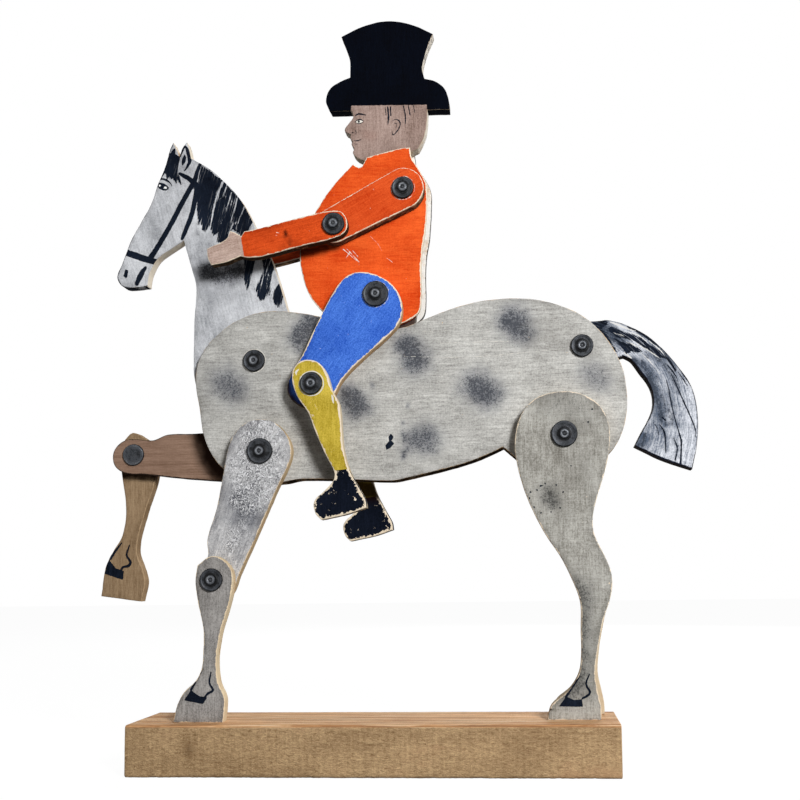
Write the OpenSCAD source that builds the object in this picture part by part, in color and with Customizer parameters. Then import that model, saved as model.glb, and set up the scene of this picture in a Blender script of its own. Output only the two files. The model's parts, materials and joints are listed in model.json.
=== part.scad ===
// Jointed wooden horse and rider on a length of timber.
// X runs along the horse with its head towards -X, Y runs away from the near side, Z is up.
// The origin is the middle of the base's underside.

/* [Base] */
// Length of the base timber
base_len = 360; // [350:1:420]
// Width of the base timber, from the near side to the far side
base_w = 63; // [56:1:90]
// Height of the base timber
base_h = 38; // [34:1:60]
// Radius of the planed long edges of the base
base_edge = 2.5; // [1:0.5:5]
// How far the middle of the figure stands behind the middle of the base
figure_back = 6; // [0:0.5:8]

/* [Board thickness] */
// Thickness of the neck and tail boards
core_t = 9; // [7:0.5:12]
// Thickness of each side plate of the horse and of the torso
plate_t = 4; // [3:0.5:6]
// Thickness of each board of the horse's legs
leg_t = 8.5; // [6:0.5:9]
// Thickness of the rider's upper arms and thighs
limb_t = 8.5; // [6:0.5:9]
// Thickness of the rider's forearms and calves
shin_t = 7.5; // [5:0.5:9]
// Running gap between two boards that turn on each other
run_gap = 0.3; // [0.2:0.05:0.5]

/* [Horse] */
// Distance from the middle of the base to the front shoulder
shoulder_x = -86.5; // [-95:0.5:-80]
// Height of the front shoulder above the base
shoulder_h = 202.5; // [195:0.5:215]
// Distance from the front shoulder back to the hind pivot
hind_x = 231; // [222:0.5:238]
// Height of the hind pivot above the front shoulder
hind_rise = 8; // [0:0.5:16]
// Distance from shoulder to knee of the near front leg
upper_len = 103; // [95:0.5:110]
// Distance from shoulder to knee of the raised far front leg
upper_len_far = 111; // [100:0.5:115]
// Forward lean of the near front leg's upper board
near_leg_lean = 19; // [12:0.5:24]
// Forward lift of the raised front leg's upper board
far_leg_lift = 91.5; // [80:0.5:100]
// Backward set of the far hind leg against the near one
far_hind_set = 1.2; // [0:0.1:2]
// Diameter of the spacer in the front shoulder
front_spacer_d = 26; // [18:1:30]
// Diameter of the spacer in the hind pivot
hind_spacer_d = 30; // [18:1:34]

/* [Rider] */
// Distance from the front shoulder back to the rider's hip
seat_x = 89.5; // [86:0.5:93]
// Height of the rider's hip above the front shoulder
seat_rise = 119; // [118:0.5:122]
// Height of the arm pivot above the hip pivot
torso_rise = 82.5; // [78:0.5:95]
// Distance of the arm pivot behind the hip pivot
torso_lean = 21.5; // [18:0.5:25]
// How much further back the far torso plate is set than the near one
torso_far_set = 2; // [0:0.5:3]
// Depth of the tongue that goes down between the horse's side plates
tongue_deep = 35; // [25:1:45]
// Distance from shoulder to elbow
arm_len = 60; // [54:0.5:66]
// Distance from hip to knee
thigh_len = 84.5; // [80:0.5:92]
// Extra length of the far calf against the near one
calf_far_extra = 9; // [0:0.5:12]
// Forward lift of the near upper arm
near_arm_lift = 60.5; // [50:0.5:70]
// Forward lift of the far upper arm
far_arm_lift = 69.5; // [50:0.5:75]
// Angle that both forearms are lifted
forearm_lift = 77; // [70:0.5:85]
// Forward lift of the near thigh
near_thigh_lift = 34.5; // [26:0.5:38]
// Forward lift of the far thigh
far_thigh_lift = 26.5; // [20:0.5:38]
// Backward swing of both calves
calf_swing = 19; // [10:0.5:26]

/* [Rivets and dowels] */
// Diameter of every rivet's shank
rivet_d = 6; // [4:0.5:7]
// Radial clearance of a shank in its bore
pin_play = 0.05; // [0.02:0.01:0.1]
// Diameter of the small washers and of the plain rivet heads
washer_d = 16.5; // [14:0.5:18]
// Diameter of the large washers
big_washer_d = 19; // [16:0.5:21]
// Thickness of each washer
washer_t = 2; // [1:0.25:2.5]
// Thickness of a plain rivet head
head_t = 2; // [1:0.25:2.5]
// Diameter of a rivet's spread tip
tip_d = 8; // [7.5:0.25:10]
// Height of a rivet's spread tip over its washer
tip_h = 1.4; // [0.8:0.1:2]
// Depth of the countersunk heads at the elbows and the rider's knees
sunk_deep = 2; // [1:0.25:3]
// Diameter of the dowel under each standing hoof
dowel_d = 5; // [3:0.5:6]
// Depth of each dowel in the base
dowel_deep = 20; // [12:1:25]
// Depth of each dowel in its hoof
dowel_up = 12; // [8:1:16]

/* [Hidden] */

$fn = 48;
// Number of straight steps between two points of a curved outline
curve_steps = 3;
// How far a cutting shape runs past what it cuts
over = 1;

// Depths from the middle of the figure: the outer and inner faces of each layer of boards
gap_half = core_t / 2 + run_gap;
plate_out = gap_half + plate_t;
layer_in = plate_out + run_gap;
leg_out = layer_in + leg_t;
limb_out = layer_in + limb_t;
hoof_in = leg_out + run_gap;
hoof_out = hoof_in + leg_t;
shin_in = max(leg_out, limb_out) + run_gap;
shin_out = shin_in + shin_t;

// Pivots as seen from the near side, measured from the front shoulder
hind = [hind_x, hind_rise];
neck_pin = [-7.5, 72];
tail_pin = hind + [15, 68.5];
hip = [seat_x, seat_rise];
arm_pin = hip + [torso_lean, torso_rise];
near_knee = hung(upper_len, near_leg_lean);
far_knee = hung(upper_len_far, far_leg_lift);
near_elbow = arm_pin + hung(arm_len, near_arm_lift);
far_elbow = arm_pin + hung(arm_len, far_arm_lift);
near_rider_knee = hip + hung(thigh_len, near_thigh_lift);
far_rider_knee = hip + hung(thigh_len, far_thigh_lift);
// Height of the near front knee and of the hind pivot above the base
near_knee_h = shoulder_h + near_knee[1];
hind_h = shoulder_h + hind_rise;
// Heights from knee and hind pivot down to the base at which the leg outlines below are drawn
drawn_shin = 104.5;
drawn_hind = 210.5;
drawn_upper = 103;
drawn_thigh = 84.5;

// Where a joint lies that hangs a given length below a pivot and is lifted forwards
function hung(length, lift) = [-length * sin(lift), -length * cos(lift)];

// An outline with each point moved by the same offset
function moved(points, offset) = [for (p = points) len(p) > 2 ? [p[0] + offset[0], p[1] + offset[1], 1] : p + offset];

// An outline with the points below a height moved down
function longer(points, height, extra) =
    [for (p = points) p[1] > height ? p : [for (i = [0:len(p) - 1]) i == 1 ? p[i] - extra : p[i]]];

// A closed curve through the points; a third value marks a sharp corner
function flat(p) = [p[0], p[1]];
function heading(before, p, after) = len(p) > 2 ? [0, 0] : unit(flat(after) - flat(before));
function unit(v) = v / norm(v);
function curve(points) =
    let (n = len(points))
    [for (i = [0:n - 1])
        let (
            a = points[(i + n - 1) % n],
            b = points[i],
            c = points[(i + 1) % n],
            d = points[(i + 2) % n],
            span = flat(c) - flat(b),
            out = len(b) > 2 ? span : heading(a, b, c) * norm(span),
            in = len(c) > 2 ? span : heading(b, c, d) * norm(span),
            steps = len(b) > 2 && len(c) > 2 ? 1 : curve_steps)
        for (j = [0:steps - 1])
            let (t = j / steps)
            flat(b) * (2 * pow(t, 3) - 3 * t * t + 1) + out * (pow(t, 3) - 2 * t * t + t)
            + flat(c) * (3 * t * t - 2 * pow(t, 3)) + in * (pow(t, 3) - t * t)];

// Outlines of the horse
function body_outline() = concat(
    [[-54, 54.5], [-53, 69.5], [-47, 82.5], [-33.5, 96.5], [-16.5, 106.5], [3, 111], [24.5, 109.5]],
    moved([[-43, -14], [-25.5, -20], [-2, -24.5], [17.5, -24.5], [33, -19.5]], hip),
    moved([[-85.5, 100], [-62, 105.5], [-35, 107], [-12.5, 104], [10.5, 95], [26.5, 82.5], [38.5, 66],
        [45.5, 49], [48, 30], [47, 14.5], [42, -2.5], [33.5, -14], [19, -25], [-3.5, -29], [-26, -25],
        [-37, -15.5, 1], [-46, -7.5, 1], [-56, -12], [-71.5, -18], [-94, -24]], hind),
    [[114, -21], [100, -23.5], [75.5, -22.5], [28.5, -21], [11, -23.5], [-10.5, -21], [-30, -13],
        [-40.5, -1], [-47.5, 15], [-50.5, 34.5]]);

neck_outline = [
    [-113, 72], [-108, 64], [-98.5, 63], [-88.5, 64, 1], [-86.5, 75], [-80.5, 85.5], [-70, 93], [-59, 100, 1],
    [-54, 82], [-48.5, 61.5], [-49.5, 40], [-50, 10], [-48.5, -15], [-37, -36], [-14, -47], [10, -45],
    [28, -30], [33, -5], [30, 22], [24.5, 41.5], [12.5, 79.5], [2.5, 101], [-13.5, 131.5], [-28.5, 148.5],
    [-40.5, 159], [-54, 167, 1], [-55.5, 174], [-57.5, 180.5, 1], [-61, 175.5], [-63.5, 168.5, 1],
    [-66, 175], [-68.5, 180.5, 1], [-71, 175.5], [-75, 160.5], [-80.5, 147.5], [-85.5, 132], [-92, 119.5],
    [-102, 101.5], [-109.5, 81.5]];

tail_outline = [
    [12, 20], [-1, 19], [-14, 14], [-20, 0], [-14, -14], [2, -19], [18, -15], [32, -8], [44.5, -21.5],
    [51.5, -33], [53, -45.5], [49.5, -56], [43.5, -66.5], [38, -77, 1], [58.5, -87.5], [80.5, -95.5, 1],
    [84.5, -78], [86, -61], [85, -44.5], [81, -30.5], [73.5, -18.5], [62, -4], [50.5, 7], [37, 15], [21, 20.5]];

upper_leg_outline = [
    [-24.5, -2], [-22.5, 9], [-15, 19.5], [0, 24.5], [13, 19.5], [22, 9.5], [24, -2], [21.5, -25],
    [18.5, -62], [15.5, -94], [15, -108], [10, -117.5], [1, -120.5], [-7.5, -117], [-12.5, -108],
    [-12, -88], [-16.5, -76], [-17.5, -52], [-21, -28]];

near_hoof_outline = [
    [-1, 17.5], [-11, 11, 1], [-12.5, -1], [-10, -18], [-6, -36.5], [-6, -51.5], [-7, -64.5], [-11.5, -74],
    [-20, -82], [-25, -91], [-29, -107, 1], [9, -107, 1], [10.5, -88], [5.5, -75], [4, -59], [6.5, -41],
    [11.5, -23.5], [15, -8.5], [15, 5.5], [8, 15]];

far_hoof_outline = [
    [-5, 19.5], [-12, 14, 1], [-15, 0], [-14, -14], [-10, -42.5], [-13, -64.5], [-22, -79.5], [-26.5, -90, 1],
    [-29.5, -112.5, 1], [3.5, -117, 1], [6.5, -101.5], [4, -91], [-0.5, -79], [0, -67], [6.5, -43],
    [14.5, -16.5], [13, 0], [6, 14, 1]];

hind_outline = [
    [-2.5, 32], [14, 29.5], [27, 20], [33.5, 3.5], [31.5, -20.5], [24, -45.5], [20, -61], [20.5, -74.5],
    [27.5, -90.5], [32.5, -104], [32, -119.5], [26, -138], [21.5, -158.5], [19, -178], [21, -191.5],
    [23, -203], [22.5, -217, 1], [-17, -217, 1], [-13.5, -200.5], [-3, -191.5], [5, -181.5], [9, -170],
    [9.5, -145.5], [9.5, -125], [3, -106.5], [-4, -92], [-17, -71.5], [-27.5, -49], [-34.5, -26.5],
    [-37, -6], [-32.5, 14], [-20.5, 27.5]];

// Outlines of the rider
function torso_outline() = concat(
    moved([[-29.5, 30, 1], [-15, 33.5], [-3, 36], [4.5, 36.5, 1], [6, 27.5], [11.5, 18.5], [17, 7],
        [17.5, -6.5]], arm_pin),
    moved([[37.5, 52], [35, 36.5], [34, 20.5], [34, -0.5], [31.5, -13], [19.5, -20.5], [-2, -27],
        [-25.5, -23], [-42, -11], [-54, 4.5], [-60, 24], [-61, 40], [-55.5, 57.5]], hip),
    moved([[-66.5, -6], [-54, 11], [-40.5, 25, 1], [-36.5, 22.5], [-33.5, 23, 1]], arm_pin));

// The rider's head plate: hat, then face and neck, measured from the arm pivot
hat_outline = [
    [-50.5, 132, 1], [-33.5, 139.5], [-14.5, 143], [5, 139.5], [23, 130.5, 1], [17.5, 117.5], [14, 103],
    [16, 94, 1], [24.5, 91.5], [31.5, 85.5], [35, 76], [35.5, 68, 1], [18, 68.5, 1]];
face_outline = [
    [-37.5, 31.5], [-41.5, 36], [-40.5, 39.5], [-42.5, 43], [-41.5, 45.5, 1], [-43.5, 48], [-43, 51, 1],
    [-48, 54.5], [-45, 60], [-41, 65.5], [-42.5, 70.5, 1]];
brim_outline = [[-59.5, 71, 1], [-63, 79.5], [-59.5, 89.5], [-50, 95.5], [-43.5, 98, 1], [-43.5, 111], [-46.5, 121.5]];
function head_outline() = concat(
    moved(concat(hat_outline, [[17.5, 58], [15.5, 48], [10.5, 37, 1], [3.5, 34, 1], [5, 20, 1], [10, 8], [11, -10]]),
        arm_pin),
    moved([[31, 38], [30, 0], [28, -22, 1], [28, -24.5 - tongue_deep, 1], [-28, -24.5 - tongue_deep, 1],
        [-28, -20, 1], [-40, 6], [-46, 30]], hip),
    moved(concat([[-52, -14], [-36, 12], [-29, 28, 1]], face_outline, brim_outline), arm_pin));

forearm_outline = [
    [-11, -2], [-12, -24.5], [-12, -48.5], [-12.5, -68.5, 1], [-9.5, -71.5, 1], [-14, -76], [-16, -79, 1],
    [-10.5, -83.5], [-7, -99.5, 1], [0, -100.5], [6.5, -99, 1], [7, -86.5], [5.5, -75.5, 1], [8, -70.5, 1],
    [10, -59.5], [10, -29.5], [10.5, -2], [7.5, 7.5], [0, 10.5], [-8, 7.5]];

thigh_outline = [
    [-27.5, -2.5], [-23, 5.5], [-12.5, 11.5], [0.5, 13.5], [12.5, 11], [22.5, 3], [27, -7], [26.5, -19.5],
    [20, -44], [15.5, -68], [16.5, -86], [9, -99.5], [-3, -103.5], [-14, -100], [-20, -88], [-21, -70],
    [-25.5, -42], [-28.5, -14]];

calf_outline = [
    [-2.5, 19], [-10, 14.5], [-13.5, 5], [-13, -7], [-9.5, -20], [-9, -36], [-7.5, -54.5], [-5.5, -69],
    [-8, -75], [-17, -80], [-27, -85], [-29, -94], [-26.5, -100, 1], [-8, -102.5], [8.5, -103, 1], [9.5, -97],
    [7.5, -85], [5.5, -70.5], [6.5, -55.5], [11, -37.5], [14.5, -22.5], [13, -10], [13.5, 2], [11, 12],
    [5, 17.5]];

// The upper arm: two round ends of unlike size, joined by straight sides
arm_top_r = 16;
arm_end_r = 14;
arm_end_set = -3;
function upper_arm_outline() = concat(
    [for (a = [0:12:180]) arm_top_r * [cos(a), sin(a)]],
    [for (a = [180:12:360]) [arm_end_set, -arm_len] + arm_end_r * [cos(a), sin(a)]]);

// Places a shape drawn in the horse's own frame over the base
module on_base() {
    translate([shoulder_x, figure_back, base_h + shoulder_h]) children();
}

// Turns a flat outline into a board between two depths, standing upright
module board(inner, outer, side) {
    from = side > 0 ? inner : -outer;
    translate([0, from, 0]) rotate([90, 0, 0]) mirror([0, 0, 1]) linear_extrude(outer - inner) children();
}

// A flat outline hung at a pivot and turned forwards
module hang(pivot, lift) {
    translate(pivot) rotate(-lift) children();
}

// A hole for a rivet's shank in a flat outline
module bore(pivot) {
    translate(pivot) circle(d = rivet_d + 2 * pin_play);
}

// A round bar along Y between two depths at a pivot
module across(pivot, from, to, d_from, d_to) {
    translate([pivot[0], from, pivot[1]]) rotate([-90, 0, 0]) cylinder(h = to - from, d1 = d_from, d2 = d_to);
}

// Everything below the base's top, used to trim the standing hooves
module below_base() {
    translate([-shoulder_x - base_len, -figure_back - base_w, -shoulder_h - base_h])
        cube([2 * base_len, 2 * base_w, base_h]);
}

// Where the three dowels stand, as distance along X and depth
dowel_spots = [
    [near_knee[0] - 8, -(hoof_in + hoof_out) / 2],
    [hind_x + 3, -(layer_in + leg_out) / 2],
    [hind_x + 3 + hind_h * sin(far_hind_set), (layer_in + leg_out) / 2]];

module dowel(spot, extra) {
    translate([spot[0], spot[1], -shoulder_h - dowel_deep - extra])
        cylinder(h = dowel_deep + dowel_up + 2 * extra, d = dowel_d + 2 * extra);
}

module dowel_holes() {
    for (spot = dowel_spots)
        dowel(spot, pin_play);
}

module base() {
    color("#b99d75")
    difference() {
        translate([-base_len / 2, 0, 0]) rotate([90, 0, 90]) linear_extrude(base_len) timber_section();
        on_base() dowel_holes();
    }
}

// The end of the planed timber, a rectangle with rounded corners
module timber_section() {
    w = base_w / 2 - base_edge;
    translate([-w, 0]) square([2 * w, base_h]);
    translate([-base_w / 2, base_edge]) square([base_w, base_h - 2 * base_edge]);
    for (y = [-w, w], z = [base_edge, base_h - base_edge])
        translate([y, z]) circle(r = base_edge);
}

module hoof_dowels() {
    color("#c9ad82")
    on_base()
        for (spot = dowel_spots)
            dowel(spot, 0);
}

module horse_body(side) {
    color("#b9b4ac")
    on_base() board(gap_half, plate_out, side) difference() {
        polygon(curve(body_outline()));
        for (pivot = [[0, 0], hind, neck_pin, tail_pin])
            bore(pivot);
    }
}

module horse_body_near() { horse_body(-1); }
module horse_body_far() { horse_body(1); }

// A board that runs in the gap between the side plates
module middle_board(pivot, outline) {
    on_base() board(-core_t / 2, core_t / 2, 1) difference() {
        translate(pivot) polygon(curve(outline));
        bore(pivot);
    }
}

module horse_neck() { color("#b7bcc4") middle_board(neck_pin, neck_outline); }
module horse_tail() { color("#4a5566") middle_board(tail_pin, tail_outline); }

// A turned disc that keeps the side plates apart at a leg pivot
module spacer(pivot, d) {
    color("#b58f5f")
    on_base() board(-gap_half, gap_half, 1) difference() {
        translate(pivot) circle(d = d);
        bore(pivot);
    }
}

module front_spacer() { spacer([0, 0], front_spacer_d); }
module hind_spacer() { spacer(hind, hind_spacer_d); }

module front_upper_leg(side, length, lift, knee) {
    on_base() board(layer_in, leg_out, side) difference() {
        hang([0, 0], lift) polygon(curve(longer(upper_leg_outline, -50, length - drawn_upper)));
        bore([0, 0]);
        bore(knee);
    }
}

module front_upper_leg_near() { color("#b0b2b8") front_upper_leg(-1, upper_len, near_leg_lean, near_knee); }
module front_upper_leg_far() { color("#8a6a52") front_upper_leg(1, upper_len_far, far_leg_lift, far_knee); }

module front_lower_leg_near() {
    color("#9f9d9c")
    on_base() difference() {
        board(hoof_in, hoof_out, -1) difference() {
            translate(near_knee) polygon(curve(longer(near_hoof_outline, -58, near_knee_h - drawn_shin)));
            bore(near_knee);
        }
        below_base();
        dowel_holes();
    }
}

module front_lower_leg_far() {
    color("#9c7d5c")
    on_base() board(hoof_in, hoof_out, 1) difference() {
        translate(far_knee) polygon(curve(far_hoof_outline));
        bore(far_knee);
    }
}

module hind_leg(side, lift) {
    color("#b3aea6")
    on_base() difference() {
        board(layer_in, leg_out, side) difference() {
            hang(hind, lift) polygon(curve(longer(hind_outline, -150, hind_h - drawn_hind)));
            bore(hind);
        }
        below_base();
        dowel_holes();
    }
}

module hind_leg_near() { hind_leg(-1, 0); }
module hind_leg_far() { hind_leg(1, -far_hind_set); }

module torso(side, set) {
    color("#e5501c")
    on_base() board(gap_half, plate_out, side) difference() {
        translate([set, 0]) polygon(curve(torso_outline()));
        polygon(curve(body_outline()));
        bore(hip);
        bore(arm_pin);
    }
}

module torso_near() { torso(-1, 0); }
module torso_far() { torso(1, torso_far_set); }

// Hat, head, spine and tongue in one board that fills the gap between the plates
module rider_head() {
    color("#16171f")
    on_base() board(-gap_half, gap_half, 1) difference() {
        polygon(curve(head_outline()));
        bore(hip);
        bore(arm_pin);
    }
}

// Rider's limbs: the upper board has a countersink on its inner face where the lower one turns
module upper_limb(side, pivot, lift, joint, outline) {
    on_base() difference() {
        board(layer_in, limb_out, side) difference() {
            hang(pivot, lift) polygon(outline);
            bore(pivot);
            bore(joint);
        }
        scale([1, side, 1]) across(joint, layer_in - over, layer_in + sunk_deep, sunk_d(over), rivet_d);
    }
}

// Diameter of the countersink's cone at a distance in front of the board's inner face
function sunk_d(extra) = rivet_d + 2 * (sunk_deep + extra);

module lower_limb(side, pivot, lift, outline) {
    on_base() board(shin_in, shin_out, side) difference() {
        hang(pivot, lift) polygon(curve(outline));
        bore(pivot);
    }
}

module upper_arm_near() { color("#e5501c") upper_limb(-1, arm_pin, near_arm_lift, near_elbow, upper_arm_outline()); }
module upper_arm_far() { color("#e5501c") upper_limb(1, arm_pin, far_arm_lift, far_elbow, upper_arm_outline()); }
module forearm_near() { color("#d84d1f") lower_limb(-1, near_elbow, forearm_lift, forearm_outline); }
module forearm_far() { color("#d84d1f") lower_limb(1, far_elbow, forearm_lift, forearm_outline); }

function thigh_shape() = curve(longer(thigh_outline, -50, thigh_len - drawn_thigh));
module thigh_near() { color("#3d70d8") upper_limb(-1, hip, near_thigh_lift, near_rider_knee, thigh_shape()); }
module thigh_far() { color("#3d70d8") upper_limb(1, hip, far_thigh_lift, far_rider_knee, thigh_shape()); }
module calf_near() { color("#b8a42c") lower_limb(-1, near_rider_knee, -calf_swing, calf_outline); }
module calf_far() {
    color("#b8a42c") lower_limb(1, far_rider_knee, -calf_swing, longer(calf_outline, -40, calf_far_extra));
}

// The spread end of a rivet: a low dimpled button
module rivet_tip(pivot, y) {
    difference() {
        across(pivot, y - tip_h, y, tip_d - tip_h, tip_d);
        translate([pivot[0], y - tip_h - tip_d / 8, pivot[1]]) sphere(d = tip_d / 2);
    }
}

// A rivet right through the figure: tip on the near side, plain head on the far side
module through_rivet(pivot, near_face, far_face) {
    color("#2b2d31")
    on_base() {
        across(pivot, -near_face - washer_t, far_face, rivet_d, rivet_d);
        rivet_tip(pivot, -near_face - washer_t);
        across(pivot, far_face, far_face + head_t, washer_d, washer_d - 1);
    }
}

// A rivet at a knee or an elbow: tip outside over a washer, plain or countersunk head inside
module limb_rivet(side, pivot, inner, outer, sunk) {
    color("#2b2d31")
    on_base() scale([1, -side, 1]) {
        across(pivot, -outer - washer_t, -inner, rivet_d, rivet_d);
        rivet_tip(pivot, -outer - washer_t);
        if (sunk)
            across(pivot, -inner - sunk_deep, -inner, rivet_d, sunk_d(0));
        else
            across(pivot, -inner, -inner + head_t, washer_d, washer_d - 1);
    }
}

module washer(side, pivot, face, d) {
    color("#1f2124")
    on_base() board(face, face + washer_t, side) difference() {
        translate(pivot) circle(d = d);
        bore(pivot);
    }
}

module neck_rivet() { through_rivet(neck_pin, plate_out, plate_out); }
module tail_rivet() { through_rivet(tail_pin, plate_out, plate_out); }
module front_shoulder_rivet() { through_rivet([0, 0], leg_out, leg_out); }
module hind_rivet() { through_rivet(hind, leg_out, leg_out); }
module arm_shoulder_rivet() { through_rivet(arm_pin, limb_out, limb_out); }
module rider_hip_rivet() { through_rivet(hip, limb_out, limb_out); }
module front_knee_rivet_near() { limb_rivet(-1, near_knee, layer_in, hoof_out, false); }
module front_knee_rivet_far() { limb_rivet(1, far_knee, layer_in, hoof_out, false); }
module elbow_rivet_near() { limb_rivet(-1, near_elbow, layer_in, shin_out, true); }
module elbow_rivet_far() { limb_rivet(1, far_elbow, layer_in, shin_out, true); }
module rider_knee_rivet_near() { limb_rivet(-1, near_rider_knee, layer_in, shin_out, true); }
module rider_knee_rivet_far() { limb_rivet(1, far_rider_knee, layer_in, shin_out, true); }

module body_washers() {
    washer(-1, neck_pin, plate_out, washer_d);
    washer(-1, tail_pin, plate_out, washer_d);
}

module torso_washers() {
    washer(-1, arm_pin, limb_out, washer_d);
    washer(-1, hip, limb_out, big_washer_d);
}

module leg_washers() {
    washer(-1, [0, 0], leg_out, big_washer_d);
    washer(-1, hind, leg_out, big_washer_d);
}

module front_knee_washer_near() { washer(-1, near_knee, hoof_out, washer_d); }
module front_knee_washer_far() { washer(1, far_knee, hoof_out, washer_d); }
module elbow_washer_near() { washer(-1, near_elbow, shin_out, washer_d); }
module elbow_washer_far() { washer(1, far_elbow, shin_out, washer_d); }
module rider_knee_washer_near() { washer(-1, near_rider_knee, shin_out, washer_d); }
module rider_knee_washer_far() { washer(1, far_rider_knee, shin_out, washer_d); }

base();
hoof_dowels();
horse_body_near();
horse_body_far();
horse_neck();
horse_tail();
front_spacer();
hind_spacer();
front_upper_leg_near();
front_lower_leg_near();
front_upper_leg_far();
front_lower_leg_far();
hind_leg_near();
hind_leg_far();
torso_near();
torso_far();
rider_head();
upper_arm_near();
upper_arm_far();
forearm_near();
forearm_far();
thigh_near();
thigh_far();
calf_near();
calf_far();
neck_rivet();
tail_rivet();
front_shoulder_rivet();
hind_rivet();
arm_shoulder_rivet();
rider_hip_rivet();
front_knee_rivet_near();
front_knee_rivet_far();
elbow_rivet_near();
elbow_rivet_far();
rider_knee_rivet_near();
rider_knee_rivet_far();
body_washers();
torso_washers();
leg_washers();
front_knee_washer_near();
front_knee_washer_far();
elbow_washer_near();
elbow_washer_far();
rider_knee_washer_near();
rider_knee_washer_far();
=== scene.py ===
import json
import math
import random

import bmesh
import bpy
import numpy as np
from mathutils import Matrix, Vector, geometry, noise

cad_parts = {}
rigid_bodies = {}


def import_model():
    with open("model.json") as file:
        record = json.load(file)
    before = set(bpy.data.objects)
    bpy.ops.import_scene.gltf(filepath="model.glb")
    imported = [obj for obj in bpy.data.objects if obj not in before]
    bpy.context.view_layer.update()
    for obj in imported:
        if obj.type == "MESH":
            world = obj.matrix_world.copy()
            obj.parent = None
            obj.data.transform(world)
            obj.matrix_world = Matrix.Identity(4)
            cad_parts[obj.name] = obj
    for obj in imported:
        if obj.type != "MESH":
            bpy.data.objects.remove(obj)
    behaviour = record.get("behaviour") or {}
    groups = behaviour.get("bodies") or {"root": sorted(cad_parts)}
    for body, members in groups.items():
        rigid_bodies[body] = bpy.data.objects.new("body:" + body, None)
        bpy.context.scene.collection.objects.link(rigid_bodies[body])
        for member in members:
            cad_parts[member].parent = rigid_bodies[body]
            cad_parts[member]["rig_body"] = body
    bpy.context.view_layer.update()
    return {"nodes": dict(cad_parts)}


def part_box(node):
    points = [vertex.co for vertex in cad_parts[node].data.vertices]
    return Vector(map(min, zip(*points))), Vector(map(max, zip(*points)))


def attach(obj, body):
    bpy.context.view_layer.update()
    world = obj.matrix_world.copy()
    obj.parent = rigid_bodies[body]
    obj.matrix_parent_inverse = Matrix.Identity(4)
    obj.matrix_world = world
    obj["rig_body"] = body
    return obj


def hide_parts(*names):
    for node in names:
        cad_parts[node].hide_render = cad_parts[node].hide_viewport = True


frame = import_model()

# Paint marks, board outlines and depths are worked out in millimetres, then turned into metres.
MM = 0.001
# How finely the boards are meshed: along outline and bores, down the walls, and over the faces.
OUTLINE_STEP, BORE_STEP, WALL_STEP = 1.15, .9, 2.2
INNER_RINGS, GRID, CELL = (1.15, 1.9, 3.0), 3.4, .34
# How far the corners of the boards are worn off.
ARRIS = .55
# Without a seed the soft patches' borders would wander in another way on each run.
noise.seed_set(1)


def centre(node):
    """X and Z of a rivet's middle, in millimetres."""
    low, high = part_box(node)
    return np.array([low.x + high.x, low.z + high.z]) / 2 / MM


def depths(node):
    """Y of a piece's near and far side, in millimetres."""
    low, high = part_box(node)
    return low.y / MM, high.y / MM


SHOULDER = centre("front_shoulder_rivet")

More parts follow.
